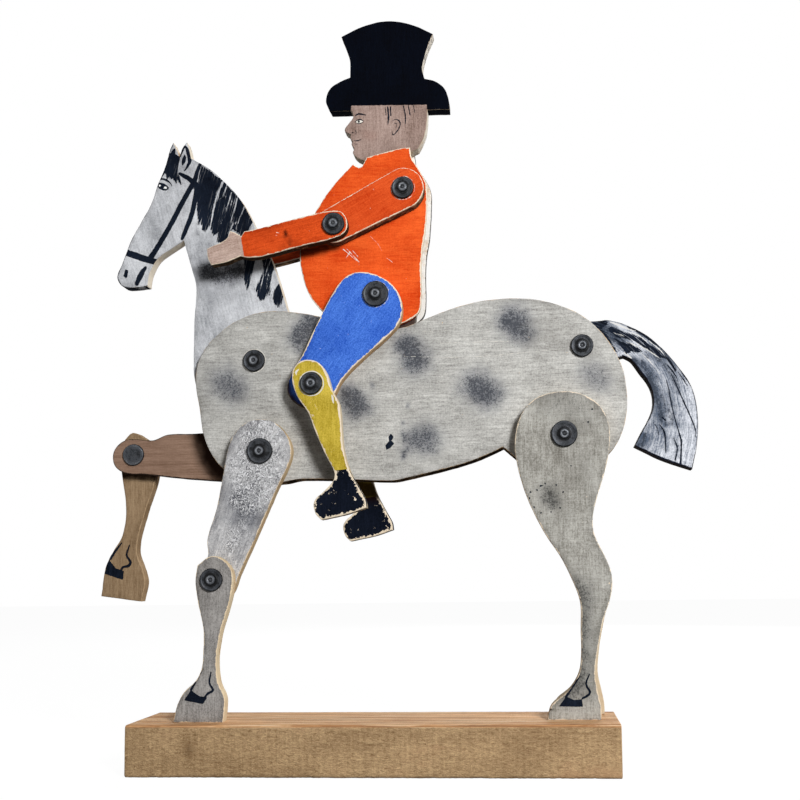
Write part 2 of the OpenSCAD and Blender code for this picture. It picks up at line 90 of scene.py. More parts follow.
# ---------------------------------------------------------------- paint marks
# A stroke is a list of (x, z, half width), a filled shape a list of (x, z), and a soft patch a stroke with
# its strength. All are in millimetres from the front shoulder's pivot.
HORSE_INK = [
    [(-71.4, 238, .8), (-70.6, 240.5, .95), (-69.4, 243.5, 1), (-67.8, 246.6, .95), (-66.3, 249.2, .7)],
    [(-66, 249.4, .6), (-64.8, 246.9, 1.2), (-63.7, 243, 1.4), (-62.6, 238.7, 1.5), (-62.3, 236, 1.4),
     (-63.5, 233.5, 1.15), (-64.8, 231.2, .85), (-66.4, 229, .4)],
    [(-66.6, 242.6), (-65, 239.4), (-65.7, 236.2), (-68.2, 232.8), (-69, 235), (-68.7, 238.5)],
    [(-75, 248.4), (-73.9, 246.8), (-74.3, 243), (-71.6, 241.4), (-71, 238), (-74.9, 237), (-79, 240.4),
     (-78.5, 243.4), (-76.5, 246.4)],
    [(-79.6, 241.7, .35), (-78.2, 246.5, .35), (-76.8, 249.6, .35), (-75.9, 251.6, .3)],
    [(-82.4, 233, 1.7), (-83.4, 228.4, 1.1), (-85, 224.4, .4)],
    [(-80.4, 230, 1.7), (-80.3, 225.2, 1.1), (-80.9, 222, .3)],
    [(-78, 230, 1.5), (-77.6, 224.8, .8), (-77.2, 222.6, .3)],
    [(-75.4, 224.5, 1.3), (-73.5, 220.6, .7), (-73, 218.6, .25)],
    [(-71.6, 223.5, 1.1), (-70.1, 219.8, .8), (-69.2, 217.4, .3)],
    [(-70.5, 226.8, 1.2), (-66, 224.1, 1.8), (-61.9, 221.5, 1.9), (-56.1, 215.9, 2.5)],
    [(-53.8, 233.5, 1.4), (-56.2, 227.4, 1.6), (-58.4, 219.7, 2.2), (-62.3, 213, 2.1), (-69.3, 200.4, 2.1),
     (-76.2, 187, 2.1), (-83.8, 173.8, 2.1), (-89.2, 164.9, 2.2), (-93.4, 158.6, 2.3)],
    [(-57.1, 216, 1.4), (-57.2, 208.8, 1.8), (-59, 197.6, 2), (-61.4, 189.4, 2), (-64.1, 182.4, 1.9),
     (-66.2, 177.2, 1.7), (-67.8, 173.2, 1.4)],
    [(-113.5, 163.7, 2.5), (-106.1, 161, 2.7), (-97.9, 157.9, 2.6), (-89.3, 155.1, 2.4)],
    [(-112.9, 148.6, 1.4), (-113.8, 144.4, 1.7)],
    [(-97.4, 150.9, 1.2), (-101, 145.4, 2.3), (-104.3, 138.1, 1.8)],
    [(-120.2, 141.2, .7), (-117.6, 137.2, .7), (-112.3, 135.1, .5), (-101.7, 134.7, .5), (-95.2, 136.2, .4)],
    [(-88.7, 219.3), (-87, 219.9), (-83.4, 219.2), (-80.8, 217.8), (-79, 215.4), (-79.6, 214.1),
     (-81.5, 213.1), (-84.1, 213.5), (-87, 214.9), (-88.4, 217.1)],
    [(-87.6, 222.3, .4), (-85, 223, .8), (-81.9, 222, .9), (-79.2, 220.3, .6), (-77.2, 218.2, .35),
     (-76.6, 216.4, .2)],
    [(-86.3, 223.6, .2), (-89.7, 214.3, .35), (-93, 204, .4), (-99.5, 191.5, .45), (-106.4, 179.6, .5),
     (-112.1, 167.3, .55), (-117, 153.5, .6), (-120.2, 146, .8), (-120.2, 142, .9), (-118, 138.2, .9)],
]
MANE = [
    [(-79, 241.9), (-71.3, 241), (-71.1, 237.9), (-71.6, 233.8), (-71.5, 226.6), (-70.1, 222.4),
     (-69.3, 218.3), (-71.1, 220.4), (-72.1, 222.4), (-73.1, 219), (-74.7, 221.9), (-77.2, 223.2),
(-78.5, 224.8), (-79.6, 223.8), (-81.3, 224.6), (-82.2, 227.8), (-83.2, 230.2), (-84.2, 227.6),
(-85.6, 225.4), (-86.2, 225.6), (-84.9, 229.6), (-83.4, 233.6), (-81.5, 238.1)],
    [(-52.6, 232.6), (-46.5, 228.6), (-40.7, 223.5), (-35.8, 219.6), (-30.1, 214), (-23.5, 206.4),
     (-17.8, 198.8), (-12.9, 191.3), (-9.9, 185.5), (-12.9, 179.1), (-16.1, 175.6), (-18.5, 171.6),
(-22.5, 176.2), (-26.6, 179.6), (-30.6, 177.3), (-31.4, 170.9), (-35.4, 168.6), (-39.5, 169.5),
(-38.7, 177.6), (-42.3, 174.5), (-44.4, 180.3), (-42.8, 185.9), (-46.9, 181.2), (-49.3, 178), (-51.7, 180.6),
(-52.6, 188.8), (-54.2, 184.7), (-55.2, 191.3), (-56, 199.5), (-57.3, 206.9), (-56.1, 214.3), (-54.6, 224)],
    [(-18, 156.6), (-8.7, 156.3), (-9.5, 147.4), (-12.2, 140.3), (-12.8, 133.8), (-15.2, 130.3), (-17.2, 138),
     (-16.7, 147.7)],
    [(-2.7, 155.2), (7.7, 154.1), (6.6, 145.2), (4.6, 138.1), (2.6, 128.5), (-.5, 123), (-3.7, 120.3),
     (-6.2, 124.8), (-8.1, 130.5), (-3.8, 139.2), (-1.4, 145.5)],
    [(11, 134.6), (14, 131.3), (13.6, 125.7), (12.4, 118.6), (10.3, 115), (7.5, 117.9), (5.3, 122),
     (6.6, 128.4)],
]
HORSE_GAPS = [
    [(-35.4, 218.3, 1.1), (-38.6, 210.3, .9), (-41.3, 201.4, .8), (-43.7, 190.9, .65), (-44.4, 182.7, .4)],
    [(-50.7, 231.7, .5), (-52.5, 225.2, .2)],
    [(-28, 209.8, .6), (-30.8, 200.9, .4), (-33.6, 192.9, .3), (-36.3, 184.1, .15)],
    [(-23.5, 203.9, .9), (-25.9, 195, .7), (-28.3, 186.2, .4)],
    [(-17.4, 197.1, .35), (-22.6, 185.1, .3), (-24.2, 179.5, .2)],
    [(-9.7, 184.6, 1.2), (-12.9, 179.9, .8), (-14.4, 175.1, .4)],
    [(-32.5, 213.7, .35), (-36.1, 204.4, .1)],
    [(-26.6, 183.7, .5), (-29.4, 177.3, .35)],
    [(3.7, 153.4, .4), (-3, 134.3, .2)],
    [(.6, 145.5, .35), (-5.5, 129.6, .2)],
    [(5.9, 144.5, .3), (.6, 130.2, .15)],
]
EYE_WHITES = [[(-86.8, 217.5, .8), (-86.4, 217.4, .8)], [(-82.3, 215.7, .9), (-81.8, 215.5, .9)]]
TAIL_INK = [
    [(266.4, 90.7), (268.8, 91.6), (277.2, 87.9), (283.7, 85.3), (291.2, 82.2), (297.7, 76.7), (305, 70.7),
     (308.7, 66.2), (304.9, 66.8), (297.5, 72.3), (291.1, 76.9), (286.5, 80.4), (279.9, 82.2), (273.3, 83.2),
(269.1, 86.3)],
    [(271.4, 82.8), (276.1, 79.7), (281.7, 78.3), (289.1, 74.2), (292.1, 71.8), (288.1, 71.2), (283.4, 72.3),
     (279.6, 70.3), (276.4, 75.2)],
    [(255, 95.6), (258.4, 96.1), (266, 96.5), (265.4, 93.4), (261, 90.6), (265, 86), (270, 78), (273, 71),
     (262, 80)],
    [(281.2, 91.2, .4), (288, 88, .9), (296.2, 82.6, .8), (303.4, 76.1, .5)],
    [(298, 76, .3), (306, 70.5, 1), (312.6, 63, 1.1), (316.6, 56.7, .5)],
]
TAIL_LINES = [
    [(313, 54.1, .3), (316.5, 45.4, .45), (320, 36.7, .5), (324.4, 26.1, .5), (327.8, 17.4, .5),
     (329.9, 10.7, .45), (329.9, 5.5, .3)],
    [(309.1, 49.4, .3), (311, 41.7, .4), (312.4, 32.1, .5), (314.2, 22.5, .4), (316.5, 12.9, .4),
     (318.9, 3.4, .6), (318.8, -4.2, .6), (318.1, -14.1, .8)],
    [(303.5, 15.1, .3), (306.4, 10.3, .6), (307.2, 3.6, .5), (307.2, -5.9, .3)],
    [(313.7, 4.4, .3), (315.7, -1.3, .5), (315.6, -6, .4), (314, -11.7, .6)],
    [(320.5, 55.8, .4), (323.2, 51.9, .7), (326.8, 46.1, .6), (329.4, 40.3, .5), (330.6, 34.5, .3)],
    [(318.2, 55.4, .2), (322.2, 49.1, .5), (325.1, 44.2, .2)],
    [(310.4, 60.9, .3), (314, 56, .6), (317.1, 51.1, .3)],
    [(298.5, 17.2, .2), (301.2, 13.3, .3), (302.4, 7.6, .2)],
    [(305.3, 21, .6), (307.8, 18.6, .5)],
    [(277, 69, .8), (283, 65.2, 1.1), (286.9, 60.3, 1.3), (290.5, 55, 1.4), (293.3, 51.2, 1.3),
     (295.7, 47.3, 1.1), (297.5, 43.5, .8), (298.6, 39.2, .5)],
    [(284, -.6, 1.1), (291, -4.2, 1.4), (297.6, -7.7, 1.5), (304.5, -11, 1.6), (312, -14, 1.6),
     (319.3, -16.6, 1.5), (326, -18.9, 1.1)],
]
TAIL_PALE = [
    [(268.4, 95.2, .5), (274.5, 92.9, .8), (280.6, 90, .7), (289.5, 87.4, .3)],
    [(279.8, 79.6, .2), (284.5, 77.8, .5), (289.2, 75.2, .3)],
    [(286.4, 79.9, .2), (291.1, 75.9, .4), (297.5, 71.9, .5), (304.9, 65.9, .2)],
    [(277.9, 71.5, .5), (281.4, 68.5, .6), (283.5, 67, .3)],
    [(290, 71.1, .1), (295.5, 66.1, .2), (301, 59.2, .2), (304.6, 54.3, .05)],
    [(270.5, 86.9, .2), (275.9, 85.1, .5), (279.3, 83.4, .2)],
    [(281.7, 87.5, .2), (289.2, 84.4, .4), (295.1, 79.8, .2)],
    [(296.8, 80, .2), (304, 73.6, .4), (309.6, 67.4, .2)],
]
TAIL_BLOTS = [
    ([(256, 92, 9), (266, 88, 8), (276, 79, 7)], 1),
    ([(285.2, 66.4, 4.5), (292.5, 57.6, 6), (297.9, 49.7, 7), (301.3, 38.1, 7), (303.9, 26.6, 6.5),
      (307.3, 17, 4)], .95),
    ([(289.5, 87.4, 4), (297.8, 81.5, 5), (305.1, 75.5, 6), (312.4, 67.6, 6), (317.9, 60.7, 4)], .8),
    ([(298, 70, 6), (308, 62, 6), (315, 50, 5), (318, 40, 4)], .7),
    ([(286.5, 1, 4), (292.2, 8.7, 4.5), (291, 2, 5)], .85),
    ([(305, 14, 3), (307, 3, 3), (307.2, -5, 2)], .6),
    ([(315, 5, 3), (316, -9, 3.5)], .55),
    ([(311, 48, 4), (313, 30, 3.5), (316, 14, 3)], .6),
]
BODY_INK = [
    [(99, 13), (101.4, 9.9), (99.7, 7.2), (102, 4.9), (98.9, 1.5), (95.7, 0), (94.8, 3.5), (97.8, 6.9),
     (97.4, 10)],
]
BODY_BLOTS = [
    ([(194.1, 97.4, 15.6), (199.1, 90.8, 14.4)], 1),
    ([(111.4, 81.2, 13.2), (118.4, 69.8, 15.6)], 1),
    ([(164.7, 48, 15.6), (172.9, 41.8, 15.6)], .95),
    ([(66.8, 42.8, 12), (73.3, 34.3, 13.2)], 1),
    ([(117, 6.7, 13.2), (126.3, 7.5, 15.6)], .85),
    ([(252.5, 54.3, 15.6), (259.6, 48.6, 13.2)], .6),
    ([(-31, 55.9, 16.8), (-24, 49.6, 15.6)], .75),
    ([(37, 101, 12), (30, 90, 14.4)], 1),
    ([(108.3, 24.4, .8), (109.7, 7.4, 1.2), (110, -14.1, .7)], .8),
    ([(81, 60.8, 1.3), (82.6, 56.9, .8), (85.2, 46.7, .6)], .9),
    ([(108, 38.3, .6), (112.6, 32, .9)], .8),
]
HIND_BLOTS = [
    ([(219.4, -37.2, 10), (220.6, -41.4, 10)], .9),
    ([(224, -47, 14), (231, -54, 12)], .26),
    ([(248.1, -13.5, 12), (250.5, -38.9, 10)], .26),
    ([(226, 34, 26), (242, 24, 26)], .46),
    ([(238, -110, 15), (236, -140, 15), (232, -178, 18)], .85),
]
HIND_DOTS = [(212.3, -30.7), (210, -33.7), (224.1, -30.2), (229.2, -35.5), (205.1, -35.1), (204, -39.5),
             (212.7, -50.8), (220.1, -50.2), (207.5, -46.3), (226.8, -47.4), (216, -28.9), (251.9, 26.2),
             (248.7, 16.5), (235.5, -16.2)]
HIND_INK = [
    [(239, -170.7, .5), (233.8, -177.9, .75), (228.5, -185.8, .9)],
    [(245.9, -169.3, .5), (243.2, -176.5, .75), (246, -182.2, .9), (243.8, -185.1, .9), (240.5, -186.6, .8)],
    [(228.5, -185.4), (223.3, -192.6), (240.7, -193), (240.1, -187.3), (234.3, -188)],
] + [[(x, z, .75), (x + .2, z, .75)] for x, z in HIND_DOTS]
# Painted shade along the left edge of the hind hoof.
HIND_PAINTED_SHADE = [([(217.6, -193.8, 1.3), (215.6, -197, 2), (214.6, -202, 2.4)], 1)]
NEAR_HOOF_INK = [
    [(-39.5, -163.2, .5), (-43.9, -170.5, .75), (-48.4, -178.6, .9)],
    [(-33.4, -165.5, .5), (-34.6, -173.5, .75), (-31.7, -178.7, .9), (-35.5, -181.2, .9),
     (-38.9, -185.2, .8)],
    [(-48.6, -178.6), (-53.6, -186.3), (-39.2, -188.9), (-35.9, -184.1), (-42.3, -183)],
]
FAR_HOOF_INK = [
    [(-124.1, -67, .6), (-129, -73.4, .95), (-133.4, -79.8, 1.1)],
    [(-117.5, -68.8, .6), (-119.8, -76.8, .85), (-116.4, -82.4, 1.05), (-118.4, -85.6, 1.05),
     (-123, -86.7, 1), (-125, -91.9, .9)],
    [(-133.8, -81), (-137.1, -82.6), (-138.6, -91.4), (-122.4, -96.8), (-121.9, -89.6), (-128.8, -87.1)],
]
UPPER_LEG_BLOTS = [
    ([(-15.2, -35.6, 15), (-10.5, -46.4, 14)], .85),
    ([(-21.3, -52.3, 9), (-5.8, -55.5, 10)], .5),
]
BODY_SCRATCHES = [
    [(100.5, 72.8, .05), (160.7, 70.3, .12), (229.3, 74.5, .05)],
    [(137.7, 81.8, .05), (199.1, 81.6, .1)],
    [(106.8, 90.6, .08), (160.9, 92.1, .05)],
]
TORSO_SCRATCHES = [
    [(62.5, 158.5, .3), (73.5, 148.5, .1)],
    [(65.6, 158.4, .1), (75.1, 147.7, .25)],
    [(68, 155.9, .2), (64.8, 151.2, .05)],
    [(70, 157, .05), (74, 152.4, .2)],
    [(84, 168, .05), (90, 161.5, .12), (93, 156, .05)],
    [(97, 150, .05), (101.5, 146.4, .12)],
]
THIGH_SPECKS = [(70.4, 83.9, .8), (65.8, 112.8, .5), (86.5, 69.5, .35), (60.4, 93.5, .35), (97, 99, .3),
                (79, 120, .35)]

# ---------------------------------------------------------------- colours


def rgb(r, g, b):
    """A colour written as 0 to 255, in Blender's linear light."""
    return tuple(((v / 255 + .055) / 1.055) ** 2.4 if v > 10 else v / 255 / 12.92 for v in (r, g, b)) + (1,)


def shade(colour, *by):
    """The colour times one number, or three."""
    return tuple(v * t for v, t in zip(colour, by if len(by) == 3 else by * 3)) + (1,)


CREAM = rgb(240, 229, 208)
PINE = (rgb(176, 138, 98), rgb(214, 180, 138))
BROWN = (rgb(118, 91, 74), rgb(164, 135, 116))
TAN = (rgb(128, 104, 77), rgb(174, 148, 117))
INK = (rgb(6, 9, 17), rgb(28, 36, 50))
BLOT = rgb(96, 102, 116)

# ---------------------------------------------------------------- node graphs


class Graph:
    """Builds a material's or world's nodes with short calls. Values may be numbers, colours or sockets."""

    def __init__(self, owner):
        owner.use_nodes = True
        self.owner, self.tree = owner, owner.node_tree
        self.tree.nodes.clear()

    def add(self, kind, inputs=(), **settings):
        made = self.tree.nodes.new(kind)
        for key, value in settings.items():
            setattr(made, key, value)
        for key, value in dict(inputs).items():
            self.set(made.inputs[key], value)
        return made

    def set(self, socket, value):
        if isinstance(value, bpy.types.NodeSocket):
            self.tree.links.new(value, socket)
        else:
            socket.default_value = value

    def math(self, operation, a, b=0.0, c=0.0):
        return self.add("ShaderNodeMath", {0: a, 1: b, 2: c}, operation=operation).outputs[0]

    def times(self, a, b):
        return self.math("MULTIPLY", a, b)

    def plus(self, a, b):
        return self.math("ADD", a, b)

    def minus(self, a, b):
        return self.math("SUBTRACT", a, b)

    def times_plus(self, a, b, c):
        return self.math("MULTIPLY_ADD", a, b, c)

    def sum(self, *terms):
        """Adds weight * (socket - middle) for each (socket, weight, middle). A middle left out is .5."""
        total = 0.0
        for socket, weight, middle in (term if len(term) == 3 else (*term, .5) for term in terms):
            linked = isinstance(total, bpy.types.NodeSocket)
            rest = self.plus(total, -weight * middle) if linked else total - weight * middle
            total = self.times_plus(socket, weight, rest)
        return total

    def step(self, value, low, high):
        """0 below low, 1 above high, smooth between them; high may be less than low."""
        made = self.add("ShaderNodeMapRange", {0: value, 1: low, 2: high}, interpolation_type="SMOOTHSTEP")
        return made.outputs[0]

    def fade(self, value, low, high, most):
        """A step that ends at most instead of 1."""
        return self.times(self.step(value, low, high), most)

    def mix(self, factor, a, b):
        made = self.add("ShaderNodeMix", data_type="RGBA")
        for socket, value in zip((made.inputs[0], made.inputs[6], made.inputs[7]), (factor, a, b)):
            self.set(socket, value)
        return made.outputs[2]

    def mix_value(self, factor, a, b):
        """A number that goes from a to b with factor."""
        return self.times_plus(factor, b - a, a)

    def attribute(self, name, output="Fac"):
        return self.add("ShaderNodeAttribute", attribute_name=name).outputs[output]

    def stretch(self, vector, scale, turn=0.0):
        if turn:
            vector = self.add("ShaderNodeVectorRotate", {"Vector": vector, "Angle": turn}).outputs[0]
        return self.add("ShaderNodeMapping", {"Vector": vector, "Scale": scale}).outputs[0]

    def noise(self, vector, scale, detail=3.0, rough=.55, twist=0.0, turn=0.0):
        """Noise at a scale, or at one scale for each axis."""
        if isinstance(scale, tuple):
            vector, scale = self.stretch(vector, scale, turn), 1.0
        inputs = {"Vector": vector, "Scale": scale, "Detail": detail, "Roughness": rough, "Distortion": twist}
        return self.add("ShaderNodeTexNoise", inputs).outputs[0]

    def surface(self, shader, kind="Material"):
        """Closes the graph with a shader and returns the material or world."""
        self.set(self.add(f"ShaderNodeOutput{kind}").inputs[0], shader.outputs[0])
        return self.owner

    def finish(self, colour, rough, height, metallic=0.0, specular=.35):
        """Closes a material's graph. The height is in millimetres."""
        bump = self.add("ShaderNodeBump", {"Height": height, "Distance": MM})
        shader = self.add("ShaderNodeBsdfPrincipled", {
            "Base Color": colour, "Roughness": rough, "Metallic": metallic, "Specular IOR Level": specular,
            "Normal": bump.outputs[0]})
        return self.surface(shader)


def new_graph(name):
    return Graph(bpy.data.materials.new(name))


def wood_colour(g, grain, tones, rings=260.0):
    """Bare wood: long fibres, darker late wood lines and a few pores. Returns (colour, height)."""
    fibres = g.noise(grain, (70, 900, 900), detail=4)
    pores = g.noise(grain, (120, 2600, 2600), detail=2)
    wander = g.noise(grain, (7, 26, 26), detail=2)
    bands = g.add("ShaderNodeTexWave", {
        "Vector": g.stretch(grain, (.03, 1, .45)), "Scale": rings / 6.3, "Distortion": 5.5, "Detail": 2.0,
        "Detail Scale": .35, "Detail Roughness": .6}, wave_type="BANDS", bands_direction="Y").outputs["Fac"]
    tone = g.sum((fibres, 1.9), (bands, .3, .4), (wander, 1.2))
    colour = g.mix(g.plus(tone, .5), tones[0], tones[1])
    dark = g.step(pores, .6, .72)
    colour = g.mix(g.times(dark, .35), colour, shade(tones[0], .5))
    height = g.sum((fibres, .1), (bands, .03), (dark, -.04, 0))
    return colour, height


def painted_wood(name, coat, zone=None, wood=PINE, wear=.55, vary=.35, edge=CREAM, brush=1.6, mottle=1.2,
                 fleck=1.2, weave=.3, chips=0, matt=.62, blot=BLOT, dry=.3, streak_turn=0, wall_tone=None,
                 zone_wear=0, crackled=False, streaky=.5, feather=3.0, grime=.3, pale=rgb(228, 224, 214),
                 wall_lines=0, dark_edge=0, plain=0):
    """Old brush paint on a wooden board. coat, zone and wood are (dark, light) pairs of colours.
    The board's attributes say where: rim (mm in from the worn edge), ink, brushed, pale and zone (mm,
    negative inside), edge (mm in from any edge), blot, wall, the painted shade and flaked (0 to 1) and grain
    (metres along, across and through the board). The painted shade darkens where other boards shade this one."""
    g = new_graph(name)
    grain = g.attribute("grain", "Vector")
    rim, ink, brushed, light, area, stain, coated, painted_shade = (
        g.attribute(n) for n in ("rim", "ink", "brushed", "pale", "zone", "blot", "wall", "painted_shade"))
    streak = g.noise(grain, (42, 560, 560), detail=5, rough=.65)
    fine = g.noise(grain, (170, 1300, 1300), detail=2)
    cross = g.noise(grain, (1250, 90, 90), detail=2)
    cloud = g.noise(grain, (30, 44, 44), detail=5, rough=.62)
    speck = g.noise(grain, 820.0, rough=.8)
    nibble = g.noise(grain, 300.0, detail=4, rough=.65)
    wander = g.noise(grain, 60.0, detail=2)
    soil = g.noise(grain, (16, 21, 21), detail=5, rough=.66)
    edge_noise = g.sum((nibble, .9), (speck, .35))

    def inside(field, soft=.12):
        """1 inside a field's marks and 0 outside, with a frayed border."""
        return g.step(g.plus(field, edge_noise), soft, -soft)

    tone = g.plus(.5, g.sum(
        (streak, brush), (fine, brush * .7), (cross, weave), (cloud, mottle), (speck, fleck)))
    colour = g.mix(tone, *coat)
    # Dapples are dabbed on: a thin wash under a patch that breaks up into specks and brush lines.
    colour = g.mix(g.fade(stain, 0, .95, .58), colour, blot)
    dabs = g.plus(stain, g.sum((speck, 2.7), (streak, streaky), (nibble, .9)))
    colour = g.mix(g.fade(dabs, .42, 1.05, .85), colour, shade(blot, .3))
    # Grime sits in soft patches and along the edges.
    near_rim = g.times_plus(g.minus(cloud, .5), 12, rim)
    darkening = g.plus(g.fade(soil, .5, .68, grime), g.fade(near_rim, 4.5, .2, grime * .7))
    grit = g.fade(speck, .62, .72, grime * 1.4)
    colour = g.mix(g.math("MAXIMUM", darkening, grit), colour, shade(coat[0], .36, .33, .3))
    colour = g.mix(inside(light, .14), colour, pale)
    patch = inside(area)
    if zone:
        colour = g.mix(patch, colour, g.mix(tone, *zone))
    # Ink lines have firm borders. Brushed areas end in bristle marks and are dry in places.
    bristle = g.noise(grain, (60, 1300, 1300), turn=streak_turn)
    missed = g.times(g.step(bristle, .58, .68), g.fade(brushed, -5, 0, dry))
    swept = g.plus(brushed, g.times_plus(g.minus(bristle, .54), feather, edge_noise))
    swept = g.times(g.step(swept, .2, -.2), g.minus(1.0, missed))
    stroke = g.math("MAXIMUM", inside(ink), swept)
    colour = g.mix(stroke, colour, g.mix(tone, *INK))
    if crackled:
        # Crackle: bump, with a near-white painted highlight on its ridges and a grey painted shade in its
        # hollows, in the flaked patches.
        worms = g.noise(grain, (300, 380, 380), detail=2, rough=.6, twist=1.6)
        flaked = g.step(g.plus(g.attribute("flaked"), g.sum((cloud, 1.6))), .12, .6)
        lit_ridge = g.times(g.step(g.math("ABSOLUTE", g.minus(worms, .5)), .075, .015), flaked)
        colour = g.mix(lit_ridge, colour, rgb(240, 240, 242))
        shaded_hollow = g.times(g.times(g.step(worms, .55, .64), flaked), g.minus(1.0, lit_ridge))
        colour = g.mix(g.times(shaded_hollow, .6), colour, rgb(96, 97, 104))

    # Wear: paint is gone along the rim, on small chips, and on the zone's own rim where it is chipped more.
    worn_to = g.plus(g.sum((nibble, vary * 4.2), (wander, vary * 3), (speck, vary * .9)), wear)
    if zone_wear:
        frayed = g.times(g.times(patch, g.minus(nibble, .5)), zone_wear * 9)
        worn_to = g.times_plus(patch, zone_wear, g.plus(worn_to, frayed))
    whole = g.step(g.minus(rim, worn_to), -.07, .09)
    if chips:
        spot = g.noise(grain, 190.0, detail=5, rough=.72)
        bound = g.times_plus(patch, -.035 if zone_wear > 0 else 0, .72 - .05 * chips)
        whole = g.times(whole, g.step(g.minus(spot, bound), .012, -.012))
    wood_face, wood_height = wood_colour(g, grain, wood)
    if plain:
        wood_face = g.mix(plain, wood_face, g.mix(tone, *wood))
    wall = g.step(rim, -.05, -.45)
    if wall_tone:
        washed = g.fade(g.plus(cloud, g.sum((nibble, .5))), .2, .5, .95)
        wood_face = g.mix(washed, wood_face, g.mix(streak, shade(wall_tone, .74), wall_tone))
    if wall_lines:
        strands = g.noise(grain, (45, 1500, 700), detail=2)
        strands = g.times(g.times(g.step(strands, .53, .6), patch), wall_lines)
        wood_face = g.mix(strands, wood_face, rgb(58, 62, 74))
    bare = g.mix(wall, g.mix(g.times(speck, .5), edge, wood[1]), wood_face)
    # Some paint ran over the edge onto the side walls.
    run = g.times_plus(coated, 2.4, g.plus(g.sum((nibble, 1.6), (cloud, 1.8)), -1.2))
    over = g.times(wall, g.step(g.times_plus(rim, .1, run), 0, .25))
    colour = g.mix(whole, g.mix(over, bare, colour), colour)
    # Painted shade: a near-black brown laid where other boards shade this one.
    colour = g.mix(g.fade(painted_shade, .1, .9, .945), colour, rgb(34, 15, 9))
    # dark_edge lays a dark band along the outline and down the walls: painted shade on the raised leg and the
    # far torso plate, black edge paint on the tail.
    if dark_edge:
        line = g.plus(g.attribute("edge"), g.sum((nibble, dark_edge * 1.6)))
        colour = g.mix(g.fade(line, dark_edge, dark_edge * .4, .88), colour, rgb(20, 15, 14))

    rough = g.plus(g.mix_value(whole, .85, matt), g.sum((cloud, .25), (speck, .12)))
    height = g.times_plus(whole, .06, g.sum((streak, .16), (fine, .08), (speck, .06)))
    height = g.plus(height, g.times(wood_height, g.mix_value(whole, 1.0, .35)))
    height = g.times_plus(stroke, .02, height)
    if crackled:
        height = g.times_plus(g.minus(lit_ridge, shaded_hollow), .3, height)
    return g.finish(colour, rough, height, specular=.025)


def dark_metal(name):
    """Blackened rivet steel: dull sheen, faint brown bloom, and rings lightened as rubbed metal and painted
    highlight.
    """
    g = new_graph(name)
    place = g.add("ShaderNodeTexCoord").outputs["Object"]
    cloud = g.noise(place, 260.0, detail=4)
    speck = g.noise(place, 1700.0, detail=3, rough=.7)
    rub_and_highlight = g.attribute("rub_and_highlight")
    tone = g.plus(rub_and_highlight, g.sum((speck, 1.5), (cloud, 1.3)))
    colour = g.mix(g.step(tone, -.1, .6), rgb(8, 9, 11), rgb(66, 69, 74))
    colour = g.mix(g.fade(cloud, .56, .7, .3), colour, rgb(46, 38, 33))
    # Painted highlight: where the tone runs high the steel turns pale grey and a little smoother.
    shine = g.fade(tone, .62, 1.2, .85)
    colour = g.mix(shine, colour, rgb(132, 135, 140))
    rough = g.plus(.5, g.sum((speck, .3), (shine, -.15, 0)))
    height = g.sum((speck, .05), (cloud, .05))
    return g.finish(colour, rough, height, metallic=.4, specular=.22)


def sawn_timber(name):
    """The base: weathered sawn faces and a warmer planed top. The mesh says where top, rim, the dark knot and
    the painted shade are.
    """
    g = new_graph(name)
    grain = g.attribute("grain", "Vector")
    top, rim, knot_and_shade = (g.attribute(n) for n in ("top", "rim", "knot_and_shade"))
    plank, plank_height = wood_colour(g, grain, (rgb(172, 118, 72), rgb(240, 188, 134)), rings=330.0)
    fuzz = g.noise(grain, (330, 700, 700), detail=4, rough=.72, twist=1.2, turn=.12)
    dash = g.noise(grain, (200, 700, 700), detail=4, rough=.65, twist=.8, turn=-.08)
    patchy = g.noise(grain, (12, 30, 30), detail=4)
    saw = g.noise(grain, (420, 22, 22))
    tone = g.plus(g.sum((fuzz, 1.9), (dash, 1.3), (saw, .5), (patchy, .8), (knot_and_shade, -.7, 0)), .55)
    sawn = g.mix(tone, rgb(128, 97, 62), rgb(212, 179, 135))
    sawn = g.mix(g.fade(dash, .62, .72, .3), sawn, rgb(100, 78, 52))
    sawn = g.mix(g.fade(patchy, .5, .7, .4), sawn, rgb(170, 122, 88))
    sawn = g.mix(g.fade(patchy, .5, .34, .22), sawn, rgb(140, 112, 78))
    lines = g.noise(grain, (9, 700, 700))
    planed = g.mix(g.fade(lines, .53, .6, .75), plank, rgb(134, 92, 60))
    planed = g.mix(g.fade(lines, .47, .4, .7), planed, rgb(252, 228, 190))
    colour = g.mix(top, sawn, planed)
    colour = g.mix(g.fade(g.plus(rim, g.sum((fuzz, 1.8))), 1.0, .2, .75), colour, rgb(226, 190, 146))
    # Darkening over the knot, and painted shade along the back of the top and at the foot.
    darkening = g.plus(knot_and_shade, g.sum((fuzz, 1.4), (dash, 1.2)))
    colour = g.mix(g.fade(darkening, .35, .9, .7), colour, rgb(72, 58, 44))
    rough = g.plus(.8, g.sum((fuzz, .2)))
    height = g.plus(g.sum((fuzz, .6), (dash, .5), (saw, .3)), g.times(plank_height, .5))
    return g.finish(colour, rough, height)


# ---------------------------------------------------------------- outlines and fields


def cad_points(node):
    """The vertices of a CAD node, in millimetres."""
    return np.array([v.co[:] for v in frame["nodes"][node].data.vertices]) / MM


